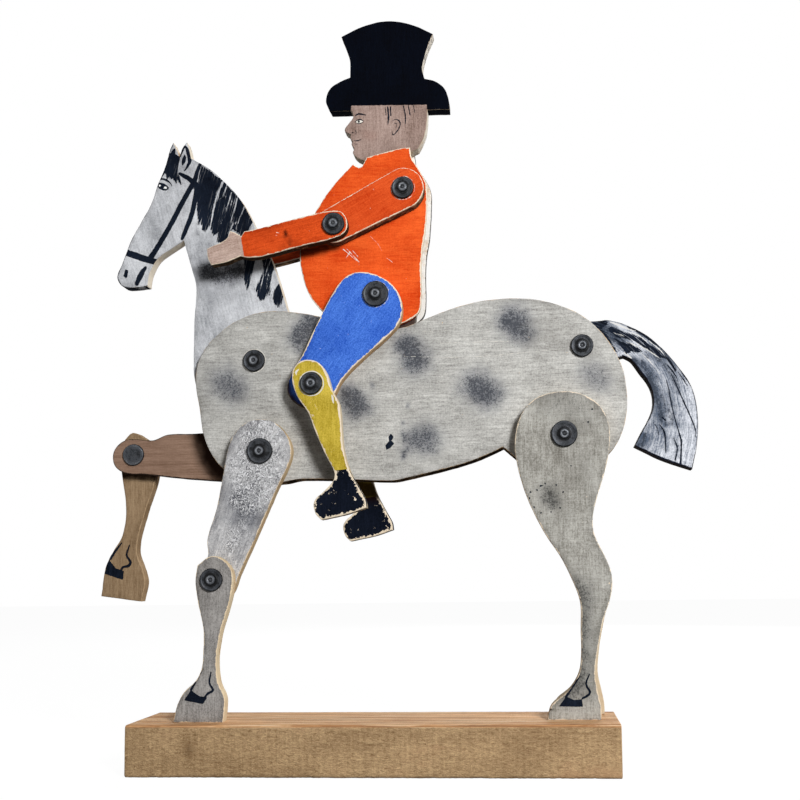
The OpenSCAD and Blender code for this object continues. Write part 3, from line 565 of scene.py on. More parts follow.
def face_loops(node, side):
    """Outline loops, in millimetres from the front shoulder, of a node's near (-1) or far (1) face.
    The outer loop comes first and runs anticlockwise as seen from the near side, and bores run clockwise."""
    co = cad_points(node)
    depth = co[:, 1].max() if side > 0 else co[:, 1].min()
    keys, used = {}, {}
    for polygon in frame["nodes"][node].data.polygons:
        if all(abs(co[i][1] - depth) < .01 for i in polygon.vertices):
            places = [(round(co[i][0], 3), round(co[i][2], 3)) for i in polygon.vertices]
            ring = [keys.setdefault(place, len(keys)) for place in places]
            for a, b in zip(ring, ring[1:] + ring[:1]):
                used[a, b] = True
    # The face's border has the edges that only one polygon uses.
    onward = {a: b for a, b in used if (b, a) not in used}
    points = np.array(list(keys)) - SHOULDER
    loops = []
    while onward:
        start, here = next(iter(onward.items()))
        ring = [start]
        del onward[start]
        while here != start:
            ring.append(here)
            here = onward.pop(here)
        loops.append(points[ring])
    loops.sort(key=lambda p: -abs(area_of(p)))
    return [p if (area_of(p) > 0) == (i == 0) else p[::-1] for i, p in enumerate(loops)]


def area_of(p):
    q = np.roll(p, -1, 0)
    return float((p[:, 0] * q[:, 1] - q[:, 0] * p[:, 1]).sum()) / 2


def unit(v):
    return v / np.maximum(np.linalg.norm(v, axis=-1, keepdims=True), 1e-9)


def smoothed(loop, step, sharp=24.0):
    """The loop at an even fine spacing, round between its points and sharp at its corners."""
    before, after = unit(loop - np.roll(loop, 1, 0)), unit(np.roll(loop, -1, 0) - loop)
    corner = (before * after).sum(1) < math.cos(math.radians(sharp))
    heading = unit(np.roll(loop, -1, 0) - np.roll(loop, 1, 0))
    made = []
    for i in range(len(loop)):
        j = (i + 1) % len(loop)
        a, b = loop[i], loop[j]
        span = b - a
        length = np.linalg.norm(span)
        start = span if corner[i] else heading[i] * length
        end = span if corner[j] else heading[j] * length
        n = max(1, round(length / step))
        for k in range(n):
            t = k / n
            made.append(a * (2 * t ** 3 - 3 * t * t + 1) + start * (t ** 3 - 2 * t * t + t)
                        + b * (3 * t * t - 2 * t ** 3) + end * (t ** 3 - t * t))
    return np.array(made)


def inward(loop):
    """For each point the direction into the material, longer at corners so that offsets stay parallel."""
    a, b = unit(loop - np.roll(loop, 1, 0)), unit(np.roll(loop, -1, 0) - loop)
    normal_a, normal_b = np.stack([-a[:, 1], a[:, 0]], 1), np.stack([-b[:, 1], b[:, 0]], 1)
    middle = unit(normal_a + normal_b)
    return middle / np.maximum((middle * normal_a).sum(1, keepdims=True), .6)


def ripple(*place):
    """Smooth noise, from -1 to 1, at a place given as three numbers."""
    return noise.noise(Vector(place))


def segment_distance(points, a, b):
    """Distance of each point to each segment a to b, and the place of the nearest point along it."""
    along = b - a
    t = ((points[:, None] - a) * along).sum(2) / np.maximum((along ** 2).sum(1), 1e-12)
    t = np.clip(t, 0, 1)
    return np.linalg.norm(points[:, None] - (a + t[..., None] * along), axis=2), t


def loop_distance(points, loops):
    """Distance to the nearest loop, worked out for so many points at a time that it fits in memory."""
    best = np.full(len(points), 1e9)
    for loop in loops:
        for k in range(0, len(points), 1500):
            some = slice(k, k + 1500)
            d, _ = segment_distance(points[some], loop, np.roll(loop, -1, 0))
            best[some] = np.minimum(best[some], d.min(1))
    return best


def contains(points, loop):
    """Whether each point is inside the loop."""
    x, z = points[:, :1], points[:, 1:]
    a, b = loop, np.roll(loop, -1, 0)
    crosses = (a[:, 1] > z) != (b[:, 1] > z)
    rise = np.where(a[:, 1] == b[:, 1], 1e-9, b[:, 1] - a[:, 1])
    at = a[:, 0] + (z - a[:, 1]) * (b[:, 0] - a[:, 0]) / rise
    return (crosses & (x < at)).sum(1) % 2 == 1


def rounded_stroke(stroke):
    """A stroke's points with smooth bends between them."""
    p = np.array(stroke, float)
    if len(p) < 3:
        return p
    closed = np.allclose(p[0], p[-1])
    ends = (p[-2], p[1]) if closed else (2 * p[0] - p[1], 2 * p[-1] - p[-2])
    q = np.vstack([ends[0], p, ends[1]])
    made = []
    for i in range(1, len(q) - 2):
        for t in (0, .34, .67):
            made.append(.5 * (2 * q[i] + (q[i + 1] - q[i - 1]) * t
                              + (2 * q[i - 1] - 5 * q[i] + 4 * q[i + 1] - q[i + 2]) * t * t
                              + (3 * q[i] - q[i - 1] - 3 * q[i + 1] + q[i + 2]) * t ** 3))
    return np.array(made + [p[-1]])


def mark_distance(points, marks, far=6.0):
    """Distance to the nearest mark in millimetres, at most far, and negative inside it."""
    best = np.full(len(points), far)
    for mark in marks:
        if len(mark[0]) == 2:
            loop = np.array(mark, float)
            d = segment_distance(points, loop, np.roll(loop, -1, 0))[0].min(1)
            d = np.where(contains(points, loop), -d, d)
        else:
            p = rounded_stroke(mark)
            d, t = segment_distance(points, p[:-1, :2], p[1:, :2])
            d = (d - (p[:-1, 2] + t * (p[1:, 2] - p[:-1, 2]))).min(1)
        best = np.minimum(best, d)
    return best


def blot_strength(points, blots):
    """How dark each point is under soft patches, which are strokes with a strength."""
    total = np.zeros(len(points))
    if not blots:
        return total
    # The patches' borders wander, by 3.2 mm in broad waves and 1.2 mm in small ones.
    drift = [noise.noise_vector(Vector((x / 8, z / 8, 5))) * 3.2
             + noise.noise_vector(Vector((x / 3, z / 3, 9))) * 1.2 for x, z in points]
    points = points + np.array([d[:2] for d in drift])
    for stroke, strength in blots:
        p = np.array(stroke, float)
        d, t = segment_distance(points, p[:-1, :2], p[1:, :2])
        reach = p[:-1, 2] + t * (p[1:, 2] - p[:-1, 2])
        total = np.maximum(total, (strength * np.exp(-1.15 * (d / reach) ** 2)).max(1))
    return total


def mark_points(marks):
    """Places along every mark's middle and edges, so that the mesh can carry its outline."""
    made = []
    for mark in marks:
        closed = len(mark[0]) == 2
        p = np.array(mark, float) if closed else rounded_stroke(mark)
        if closed:
            p = np.vstack([p, p[:1]])
        half = np.zeros(len(p)) if closed else p[:, 2]
        for i in range(len(p) - 1):
            a, b = p[i, :2], p[i + 1, :2]
            length = np.linalg.norm(b - a)
            if length < 1e-6:
                continue
            side = np.array([-(b - a)[1], (b - a)[0]]) / length
            for t in np.linspace(0, 1, max(2, int(length / .8) + 1)):
                w = half[i] + t * (half[i + 1] - half[i])
                for offset in ((-.45, 0, .45) if closed else (-w - .4, -w, 0, w, w + .4)):
                    made.append(a + t * (b - a) + side * offset)
    return made


# ---------------------------------------------------------------- pieces


def make_piece(name, verts, faces, material, node, attributes, sharp=42.0):
    """A mesh piece, in millimetres, that stands for a CAD node and rides on its body."""
    mesh = bpy.data.meshes.new(name)
    mesh.from_pydata([tuple(v) for v in np.asarray(verts) * MM], [], faces)
    work = bmesh.new()
    work.from_mesh(mesh)
    bmesh.ops.recalc_face_normals(work, faces=work.faces)
    work.to_mesh(mesh)
    work.free()
    for key, values in attributes.items():
        values = np.asarray(values, np.float32)
        kind = "FLOAT_VECTOR" if values.ndim == 2 else "FLOAT"
        made = mesh.attributes.new(key, kind, "POINT")
        made.data.foreach_set("vector" if values.ndim == 2 else "value", values.ravel())
    mesh.polygons.foreach_set("use_smooth", [True] * len(mesh.polygons))
    mesh.set_sharp_from_angle(angle=math.radians(sharp))
    mesh.materials.append(material)
    piece = bpy.data.objects.new(name, mesh)
    bpy.context.scene.collection.objects.link(piece)
    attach(piece, frame["nodes"][node]["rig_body"])
    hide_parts(node)


def filled(rim_points, edges, inner_points):
    """Triangles over a flat face: its points, the triangles, and which given points each point comes from."""
    given = [Vector(p) for p in [*rim_points, *inner_points]]
    points, _, triangles, origin, _, _ = geometry.delaunay_2d_cdt(given, edges, [], 1, 1e-5)
    return points, triangles, origin


def between_rings(start, rings, n):
    """Quads between rings of n vertices each, from the vertex start on."""
    quads = []
    for a in range(start, start + (rings - 1) * n, n):
        quads += [(a + k, a + (k + 1) % n, a + (k + 1) % n + n, a + k + n) for k in range(n)]
    return quads


def sawn_loops(node, side, seed):
    """A board's outline, which wavers as under a hand held fret saw, and its bores."""
    outer, *bores = face_loops(node, side)
    outer = smoothed(outer, OUTLINE_STEP)
    wave = [ripple(x / 11, z / 11, seed) * .16 + ripple(x / 2.6, z / 2.6, seed + 9) * .05 for x, z in outer]
    return [outer + inward(outer) * np.array(wave)[:, None]] + [smoothed(bore, BORE_STEP) for bore in bores]


def worn_corner(loop, nicks, rand, seed):
    """How far the corner of a face is worn off at each point of the loop, with some nicks."""
    n = len(loop)
    r = np.array([ARRIS * (1 + .55 * ripple(x / 7, z / 7, seed)) for x, z in loop])
    for _ in range(nicks):
        at, deep, wide = rand.randrange(n), rand.uniform(.3, .9), rand.uniform(.7, 2.2)
        gap = np.abs((np.arange(n) - at + n // 2) % n - n // 2)
        r = r + deep * np.exp(-(gap / wide) ** 2) * ARRIS
    return r


def face_points(loops, marks, rand):
    """Free points (x, z, distance to the outline) along each mark, on rings inside the rim and on a grid."""
    free = mark_points(marks)
    for offset in INNER_RINGS:
        for loop in loops:
            free += [*(loop + inward(loop) * offset)[::1 if offset < 2 else 2]]
    (x0, z0), (x1, z1) = loops[0].min(0), loops[0].max(0)
    free += [(x + rand.uniform(-.8, .8), z + rand.uniform(-.8, .8))
             for x in np.arange(x0, x1, GRID) for z in np.arange(z0, z1, GRID)]
    free = np.array(free)
    inside = contains(free, loops[0])
    for loop in loops[1:]:
        inside &= ~contains(free, loop)
    free = free[inside]
    kept, cells = [], set()
    for p, d in zip(free, loop_distance(free, loops)):
        cell = (round(p[0] / CELL), round(p[1] / CELL))
        if d > ARRIS * 1.9 + .1 and cell not in cells:
            cells.add(cell)
            kept.append((*p, d))
    return kept


def board(node, material, turn=90.0, side=-1, painted=None, ink=(), brushed=(), gaps=(), pale=(), zone=(),
          blots=(), specks=(), seed=0, walls=(), painted_shade=(), shaded_through=False, flakes=(), coated=.22):
    """A cut board: the CAD outline with worn corners, and the fields that its paint needs.
    side is the face whose outline is read, and painted the faces that have paint. turn is the grain's angle
    in degrees, or (x, z, radius) where the brush went round a bend. gaps are left out of ink and brushed.
    blots, flakes and the painted shade are soft patches. The painted shade darkens where other boards shade
    this one, and it stays on the near half unless it is set to go all through.
    walls gives areas and how much paint their side walls have, and coated how much the others have."""
    painted = painted or (side,)
    rand = random.Random(seed)
    y_low, y_high = depths(node)
    thick = y_high - y_low
    loops = sawn_loops(node, side, seed)

    # Rings of vertices down the side walls, from the near face's flat to the far face's flat.
    verts, rim, edge, faces, fronts, backs = [], [], [], [], [], []
    steps = max(2, round((thick - 2 * ARRIS) / WALL_STEP))
    for loop in loops:
        n, start = len(loop), len(verts)
        nicks = n // 45 if loop is loops[0] else 0
        near, far = (worn_corner(loop, nicks, rand, seed + 3 * face) for face in (-1, 1))
        rows = [(near, 0 * near, near), (.3 * near, .3 * near, .3 * near), (0 * near, near, 0 * near)]
        rows += [(0 * near, near + (thick - near - far) * k / steps, None) for k in range(1, steps)]
        rows += [(0 * far, thick - far, 0 * far), (.3 * far, thick - .3 * far, .3 * far),
                 (far, thick + 0 * far, far)]
        for offset, deep, inside in rows:
            ring = loop + inward(loop) * offset[:, None]
            for k, (x, z) in enumerate(ring):
                verts.append((x, y_low + deep[k], z))
                reach = min(deep[k] if face < 0 else thick - deep[k] for face in painted)
                rim.append(inside[k] if inside is not None and reach < thick / 2 else -reach)
                edge.append(0 if inside is None else inside[k])
        faces += between_rings(start, len(rows), n)
        fronts.append(range(start, start + n))
        backs.append(range(len(verts) - n, len(verts)))

    kept = face_points(loops, [*ink, *brushed, *gaps, *pale, *zone], rand)
    for face, y, chains in ((-1, y_low, fronts), (1, y_high, backs)):
        ids, edges = [], []
        for chain in chains:
            first, n = len(ids), len(chain)
            ids += chain
            edges += [(first + k, first + (k + 1) % n) for k in range(n)]
        points, triangles, origin = filled([verts[i][::2] for i in ids], edges, [p[:2] for p in kept])
        number = []
        for (x, z), given in zip(points, origin):
            known = [ids[o] for o in given if o < len(ids)]
            if not known:
                known = [len(verts)]
                verts.append((x, y, z))
                gap = kept[given[0] - len(ids)][2] if given else ARRIS
                rim.append(gap if face in painted else -thick)
                edge.append(gap)
            number.append(known[0])
        middles = np.array([[sum(points[v][c] for v in t) / 3 for c in (0, 1)] for t in triangles])
        hole = np.zeros(len(triangles), bool)
        for loop in loops[1:]:
            hole |= contains(middles, loop + inward(loop) * .2)
        faces += [tuple(number[v] for v in t) for t, h in zip(triangles, hole) if not h]

    verts = np.array(verts)
    flat, depth = verts[:, ::2], verts[:, 1]
    if isinstance(turn, tuple):
        off = flat - turn[:2]
        along, across = turn[2] * np.arctan2(off[:, 1], off[:, 0]), np.linalg.norm(off, axis=1)
    else:
        c, s = math.cos(math.radians(turn)), math.sin(math.radians(turn))
        along, across = flat @ np.array([c, s]), flat @ np.array([-s, c])
    shift = [rand.uniform(0, 400) for _ in range(3)]
    coats = np.full(len(flat), coated)
    for area, amount in walls:
        coats[contains(flat, np.array(area, float))] = amount
    not_gap = -mark_distance(flat, gaps) if gaps else -np.inf
    # Painted shade stays on the near half of the board unless it is set to go all through.
    reached = 1 if shaded_through else depth < (y_low + y_high) / 2
    make_piece(node + "_board", verts + (SHOULDER[0], 0, SHOULDER[1]), faces, material, node, {
        "rim": rim, "edge": edge, "wall": coats,
        "ink": np.maximum(mark_distance(flat, ink), not_gap),
        "brushed": np.maximum(mark_distance(flat, brushed), not_gap),
        "pale": mark_distance(flat, [*pale, *([(x, z, r), (x + .1, z, r)] for x, z, r in specks)]),
        "zone": mark_distance(flat, zone), "blot": blot_strength(flat, blots),
        "painted_shade": blot_strength(flat, painted_shade) * reached, "flaked": blot_strength(flat, flakes),
        "grain": np.stack([along + shift[0], across + shift[1], depth + shift[2]], 1) * MM})


def turned(profile, start, way, middle, wobble, seed, steps=40):
    """Vertices, faces and the rub and highlight level of a solid turned about an axis along Y, from (radius,
    depth, level) rows.
    Depths count from start, to the far side where way is 1 and to the near side where it is -1."""
    verts, faces, rub_and_highlight, starts = [], [], [], []
    for radius, depth, shine in profile:
        starts.append(len(verts))
        for k in range(steps if radius else 1):
            a = 2 * math.pi * k / steps
            r = radius * (1 + wobble * ripple(math.cos(a) * 1.3, math.sin(a) * 1.3, seed))
            verts.append((middle[0] + r * math.cos(a), start + way * depth, middle[1] + r * math.sin(a)))
            rub_and_highlight.append(shine)
    for i, (a, b) in enumerate(zip(starts, starts[1:])):
        for k in range(steps):
            m = (k + 1) % steps
            if profile[i][0] == 0:
                faces.append((a, b + k, b + m))
            elif profile[i + 1][0] == 0:
                faces.append((a + k, a + m, b))
            else:
                faces.append((a + k, a + m, b + m, b + k))
    return verts, faces, rub_and_highlight


# The thickness of a rivet's spread tip and the radius of its shank, in millimetres.
TIP, SHANK = 1.4, 3.0


def rivet(node, tip_side, head, seed):
    """A peened tip with its dimple, the shank, and a plain or countersunk head at the other end."""
    near, far = depths(node)
    start, way = (near, 1) if tip_side < 0 else (far, -1)
    # The third number of each row lightens or darkens the steel: the bright rings on the tip and inside the
    # head's rim are painted highlight, and the head's edge is darker.
    rows = [(0, .75, .3), (.6, .62, .5), (1, .8, 0), (1.5, .45, .3), (1.9, .08, .9), (2.4, 0, 1),
            (3, .12, .7), (3.6, .5, .1), (4, 1.1, -.1), (4, TIP, -.2), (SHANK, TIP, -.2)]
    end = {"plain": [(SHANK, 2, 0), (8.4, 2, -.2), (8.7, 1.4, -.2), (8.5, .7, .1), (7.8, .25, .75),
                     (7.2, .15, .6), (5.5, .05, .35), (0, 0, .25)],
           "sunk": [(SHANK, 2, 0), (4.8, .2, .3), (4.6, .05, .6), (0, 0, .4)]}[head]
    rows += [(radius, far - near - short, shine) for radius, short, shine in end]
    verts, faces, rub_and_highlight = turned(rows, start, way, centre(node), .02, seed)
    make_piece(node + "_steel", verts, faces, STEEL, node, {"rub_and_highlight": rub_and_highlight})


def washers(node, rivets, side, seed):
    """Stamped washers: a rolled rim, a dished face and a raised seat round the rivet."""
    near, far = depths(node)
    start, way = (far, -1) if side < 0 else (near, 1)
    verts, faces, rub_and_highlight = [], [], []
    for k, middle in enumerate(centre(r) for r in rivets):
        gap = np.linalg.norm(cad_points(node)[:, ::2] - middle, axis=1)
        # 14 mm leaves out the node's other washer, and .35 mm is for the rolled rim.
        r = gap[gap < 14].max() + .35
        # The third number of each row lightens or darkens the steel: the lighter ring on the dished face is
        # partly painted highlight, and the rolled rim is darker.
        under = [(3.1, 0, 0), (r - .15, 0, -.2), (r, .3, -.2)]
        top = [(r, .7, -.2), (r - .22, .25, 0), (r - .7, .02, .2), (r - 1.3, .1, .55), (r - 1.8, .45, .3),
               (r - 2.3, .6, .25), (5.6, .55, .2), (5.1, .4, -.1), (4.7, .1, -.1), (4.3, 0, -.1), (3.1, 0, 0)]
        rows = under + [(radius, far - near - inset, shine) for radius, inset, shine in top] + under[:1]
        made, rings, shines = turned(rows, start, way, middle, .012, seed + k, steps=56)
        faces += [tuple(i + len(verts) for i in ring) for ring in rings]
        verts += made
        rub_and_highlight += shines
    make_piece(node + "_steel", verts, faces, STEEL, node, {"rub_and_highlight": rub_and_highlight})


def timber_base(node):
    """The base: a length of softwood with sawn faces, uneven long edges and rough ends."""
    low, high = (np.array(v[:]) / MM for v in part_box(node))
    (x0, y0, z0), (x1, y1, z1) = low, high
    core, half = (low + high)[1:] / 2, (high - low)[1:] / 2
    # The long edges' radius, how far the ends' corners are worn off, and where the planed top begins.
    r, worn, planed = 2.4, .7, z1 - 1.2
    section = []
    for y, z, a0 in ((y1 - r, z1 - r, 0), (y0 + r, z1 - r, 90), (y0 + r, z0 + r, 180), (y1 - r, z0 + r, 270)):
        turns = [math.radians(a0 + 30 * k) for k in range(4)]
        section += [(y + r * math.cos(a), z + r * math.sin(a)) for a in turns]
    ring = []
    for (ya, za), (yb, zb) in zip(section, section[1:] + section[:1]):
        n = max(1, round(math.hypot(yb - ya, zb - za) / 1.7))
        ring += [(ya + (yb - ya) * k / n, za + (zb - za) * k / n) for k in range(n)]
    rows = [(x0, worn), (x0 + .25 * worn, .3 * worn), (x0 + worn, 0)]
    rows += [(x, 0) for x in np.arange(x0 + 2.5, x1 - 2, 1.9)]
    rows += [(x1 - worn, 0), (x1 - .25 * worn, .3 * worn), (x1, worn)]
    verts, top, rim, knot_and_shade = [], [], [], []
    n = len(ring)
    for x, shrink in rows:
        for y, z in ring:
            face = np.array([y, z]) - core
            past = np.abs(face) - half
            up = z > planed
            saw = ripple(x / 1.7, y / 20, z / 16) * .16 + ripple(x / 14, y / 9, z / 5) * .2
            saw += ripple(x / 4, y / 2.5, z / 2.2) * (.06 if past.max() > -.01 else .3)
            sink = max(0.0, saw + .12) * (.35 if up else 1) + shrink
            way = face / half
            p = np.array([y, z]) - np.where(np.abs(way) > .9, way, 0) * sink
            verts.append((x, *p))
            top.append(1.0 if up else 0.0)
            corner = min(np.abs(past).sum(), min(x - x0, x1 - x) + .2)
            rim.append(corner if face[1] > 0 else corner + .7)
            # A dark knot on the front, and painted shade along the back of the top and the foot of the front.
            knot = math.exp(-((x + 131.8) / 5.5) ** 2 - ((z - 20) / 10) ** 2) * .52 if y < core[0] else 0
            knot_and_shade.append(max(knot, .75 if up and y > y1 - 2.8 else 0, .6 if z < z0 + .9 else 0))
    faces = between_rings(0, len(rows), n)
    inner = [(y, z) for y in np.arange(y0 + 2.6, y1 - 2, 2.2) for z in np.arange(z0 + 2.6, z1 - 2, 2.2)]
    for end, x, way in ((0, x0, 1), (len(rows) - 1, x1, -1)):
        edges = [(k, (k + 1) % n) for k in range(n)]
        points, triangles, origin = filled([verts[end * n + k][1:] for k in range(n)], edges, inner)
        number = []
        for (y, z), given in zip(points, origin):
            if given and given[0] < n:
                number.append(end * n + given[0])
                continue
            number.append(len(verts))
            verts.append((x + (.12 + ripple(y / 1.6, z / 1.6, end) * .15) * way, y, z))
            top.append(0.0)
            rim.append(4.0)
            knot_and_shade.append(0.0)
        faces += [tuple(number[v] for v in t) for t in triangles]
    # The grain starts outside the timber, so that its rings curve gently.
    grain = (np.array(verts) + (0, 37, 21)) * MM
    make_piece("timber_base", verts, faces, TIMBER, node,
               {"top": top, "rim": rim, "knot_and_shade": knot_and_shade, "grain": grain}, sharp=50)


# ---------------------------------------------------------------- materials

STEEL = dark_metal("blackened steel")
TIMBER = sawn_timber("sawn timber")
WORN_COAT = dict(wear=.7, vary=.5, brush=.8, chips=.35, matt=.55)
ORANGE = (rgb(190, 54, 14), rgb(248, 106, 50))
# The body's near-black wall tone is partly dirt and partly painted shade for its shaded belly edge and
# undersides.
horse_paint = painted_wood(
    "horse grey paint", (rgb(137, 135, 131), rgb(218, 217, 212)), wear=.22, vary=.3, edge=rgb(196, 170, 134),
    brush=1.15, mottle=1.1, fleck=1.7, chips=.25, wall_tone=rgb(16, 12, 10), grime=.26)
neck_paint = painted_wood(
    "neck pale grey paint", (rgb(146, 148, 153), rgb(234, 236, 240)), wear=-.1, vary=.25,
    edge=rgb(214, 190, 156), brush=.7, mottle=1.9, weave=.15, dry=.35, streak_turn=.5, feather=4.8,
    blot=rgb(66, 69, 78), wall_tone=rgb(244, 234, 216), grime=.2, pale=rgb(252, 252, 250))
leg_paint = painted_wood(
    "front leg flaked paint", (rgb(132, 132, 136), rgb(226, 225, 225)), wear=.35, vary=.5,
    edge=rgb(238, 222, 194), brush=1.0, mottle=2.1, fleck=1.8, crackled=True, matt=.5,
    wall_tone=rgb(202, 178, 142), grime=.22)
hoof_paint = painted_wood(
    "lower leg grey paint", (rgb(112, 109, 106), rgb(192, 188, 184)), wear=.5, vary=.45,
    edge=rgb(244, 226, 194), brush=1.0, mottle=1.3, fleck=1.9, dry=.1, wall_tone=rgb(236, 218, 184))
hind_paint = painted_wood(
    "hind leg grey paint", (rgb(124, 121, 113), rgb(203, 201, 194)), wear=.45, vary=.6,
    edge=rgb(232, 220, 200), brush=1.0, mottle=1.3, fleck=1.8, weave=.6, chips=.2, dry=.1,
    blot=rgb(100, 100, 98), wall_tone=rgb(222, 204, 174))
# Its dark edge is painted shade: a dark band round the raised leg, which lies in the body's shade.
raised_paint = painted_wood(
    "raised leg grey paint", (rgb(130, 128, 124), rgb(204, 202, 198)), wood=BROWN, plain=.5, wear=.4,
    edge=rgb(190, 152, 112), dark_edge=.9)
raised_shin = painted_wood(
    "raised shin bare wood", TAN, wood=TAN, wear=.3, edge=TAN[1], matt=.75, dry=.05, grime=.2)
tail_paint = painted_wood(
    "tail streaked paint", (rgb(106, 114, 128), rgb(226, 229, 236)), wear=-.5, vary=.2, edge=rgb(20, 20, 24),
    brush=2.1, mottle=1.7, fleck=1.9, dry=1.0, blot=rgb(52, 70, 94), wall_tone=rgb(8, 9, 12), streaky=2.8,
    feather=4.6, grime=.1, pale=rgb(214, 213, 210), dark_edge=.9)
coat_paint = painted_wood(
    "coat orange paint", (rgb(204, 56, 12), rgb(255, 111, 48)), **WORN_COAT, mottle=1.7,
    wall_tone=rgb(244, 230, 204), grime=.16)
# Its dark edge is painted shade: the dark line in the gap along the near torso plate's edge.
far_coat_paint = painted_wood(
    "far coat orange paint", ORANGE, **WORN_COAT, mottle=1.7, wall_tone=rgb(255, 253, 248), grime=.16,
    dark_edge=.45)
# Its dark wall tone is painted shade on the arms' shaded undersides.
arm_paint = painted_wood(
    "arm orange paint", ORANGE, **WORN_COAT, fleck=1.1, wall_tone=rgb(60, 44, 36), grime=.12)
# Its near-black wall tone is painted shade on the forearm's shaded underside.
sleeve_paint = painted_wood(
    "sleeve orange paint", (rgb(172, 48, 12), rgb(242, 96, 40)),
    zone=(rgb(148, 120, 106), rgb(218, 194, 182)), wear=.6, vary=.5, brush=1.0, mottle=1.5, chips=.5,
    matt=.52, blot=rgb(84, 30, 14), wall_tone=rgb(30, 20, 14), grime=.18)
head_paint = painted_wood(
    "hat and head paint", (rgb(126, 104, 94), rgb(192, 168, 158)), zone=(rgb(0, 0, 2), rgb(5, 9, 20)),
    wear=.2, vary=.3, edge=rgb(180, 168, 154), brush=.9, mottle=1.5, fleck=1.6, matt=.7, dry=.1,
    blot=rgb(170, 112, 96), zone_wear=-.2, wall_tone=rgb(244, 236, 222), grime=.2, wall_lines=.85)
thigh_paint = painted_wood(
    "thigh blue paint", (rgb(16, 66, 176), rgb(92, 144, 240)), wear=.8, vary=.7, brush=.6, fleck=1.9,
    chips=.6, matt=.55, wall_tone=rgb(200, 168, 130), grime=.12)
calf_paint = painted_wood(
    "calf mustard and boot paint", (rgb(160, 136, 28), rgb(226, 200, 84)),
    zone=(rgb(3, 6, 13), rgb(22, 28, 42)), wear=.95, vary=.7, brush=.9, mottle=1.6, fleck=1.7, chips=.8,
    matt=.55, zone_wear=.5, wall_tone=rgb(222, 206, 176), grime=.2)

# ---------------------------------------------------------------- the figure

PIVOT = {n: centre(n) - SHOULDER for n in frame["nodes"] if n.endswith("_rivet") or "_rivet_" in n}


def halo(node, r, width):
    """A worn ring in the paint round a washer."""
    x, z = PIVOT[node]
    turns = [(math.cos(a), math.sin(a)) for a in np.linspace(0, 2 * math.pi, 25)]
    return [(x + r * c, z + r * s, width * (1 + .9 * ripple(c * 2, s * 2, r + x))) for c, s in turns]


def below(a, b):
    """A filled area under the line from a to b, which reaches well past both."""
    (x0, z0), (x1, z1) = a, b
    dx, dz = 2 * (x1 - x0), 2 * (z1 - z0)
    return [(x0 - dx, z0 - dz), (x1 + dx, z1 + dz), (x1 + dx, z1 - 90), (x0 - dx, z0 - 90)]


HAT = [(20, 269.8), (67.9, 269.8), (68.6, 276), (128.6, 273.9), (129.2, 267), (170, 267), (170, 400),
       (20, 400)]
HAT_BACK = [(119, 292), (150, 292), (150, 336), (119, 336)]
# The rider's face is a plain drawing of its own: one eye, brow, nostril, mouth, ear and short side hair.
FACE_INK = [
    [(71.5, 262.4, .2), (73.4, 264.1, .45), (76, 264.3, .45), (78.6, 262.9, .2)],
    [(71.8, 262.2, .15), (74.6, 261, .25), (78.2, 262.3, .15)],
    [(74.4, 262.7, .8), (74.6, 262.6, .8)],
    [(70.8, 267.2, .3), (74.5, 269, .65), (79.8, 267.8, .35)],
    [(68.3, 253.4, .3), (69.6, 253.9, .4), (70.6, 253.3, .2)],
    [(71.6, 255.8, .15), (72.4, 253.8, .3), (71.4, 252.4, .15)],
    [(69.4, 247.4, .2), (73, 247.1, .4), (76.4, 248, .2)],
    [(70.4, 244.7, .15), (73.2, 244.4, .25)],
    [(101, 262, .25), (104.5, 263.2, .4), (107.3, 260.5, .45), (106.6, 256, .4), (103.6, 252, .35),
     (101.6, 250.6, .3), (101, 253.5, .2)],
    [(102.8, 260.2, .2), (104.8, 259.3, .3), (104, 256, .2)],
    [(97.5, 273.6, .6), (98.2, 266, .7), (97.6, 259, .3)],
    [(99.8, 273.6, .5), (100, 266.5, .5)],
    [(95.6, 273.4, .3), (96.2, 267, .25)],
    [(110, 274, .4), (111.6, 266, .5), (111.4, 259, .25)],
    [(114, 273.9, .35), (115.4, 266, .4)],
    [(118, 273.8, .3), (119.2, 268, .25)],
]
FACE_WHITE = [[(71.8, 262.3), (73.6, 263.7), (76, 263.8), (78.2, 262.6), (74.8, 261.3)]]
FACE_BLOTS = [([(81, 252, 5), (84, 251, 5)], .32), ([(67, 256, 3), (69, 255, 3)], .2)]
NECK_BLOTS = [
    ([(-67, 233, 4), (-62, 230, 4)], .32),
    ([(-48.2, 146.4, 9), (-35.2, 142.7, 11), (-20.7, 144.6, 9)], 1),
    ([(-54.2, 186.4, 2), (-54.1, 175, 2)], .7),
    ([(-48.8, 131, 10), (-32.6, 122.5, 12)], .3),
    ([(-47.6, 171.5, 5), (-42.7, 160, 5)], .3),
]
# The muzzle's underside wall takes the face's paint and ink: the black outline run over the edge, also laid
# there as painted shade under the nose.
MUZZLE = [(-122, 130), (-97, 130), (-97, 137.6), (-122, 141)]
SLEEVE_BLOTS = [
    ([(20, 169, 1), (23, 163, 1.7), (24.5, 157, 1.2)], 1),
    ([(-6, 150, 4), (10, 152, 3), (30, 158, 3)], .3),
    ([(-4, 170, 3), (14, 172, 4)], .3),
]
SLEEVE_SCUFFS = [[(14.5, 167, .35), (16.8, 166.6, .15)], [(13.6, 165, .1), (15.2, 164.6, .2)]]
HAND = [(-60, 100), (-60, 200), (-13, 200), (-12.9, 162.2), (-10.2, 147.2), (-8, 100)]
NEAR_BOOT, FAR_BOOT = below((56.6, -17.3), (72.5, -15.7)), below((71.6, -34.5), (86.9, -32.4))
COAT_TAIL = [(100, 88), (125, 88), (125, 104), (100, 104)]
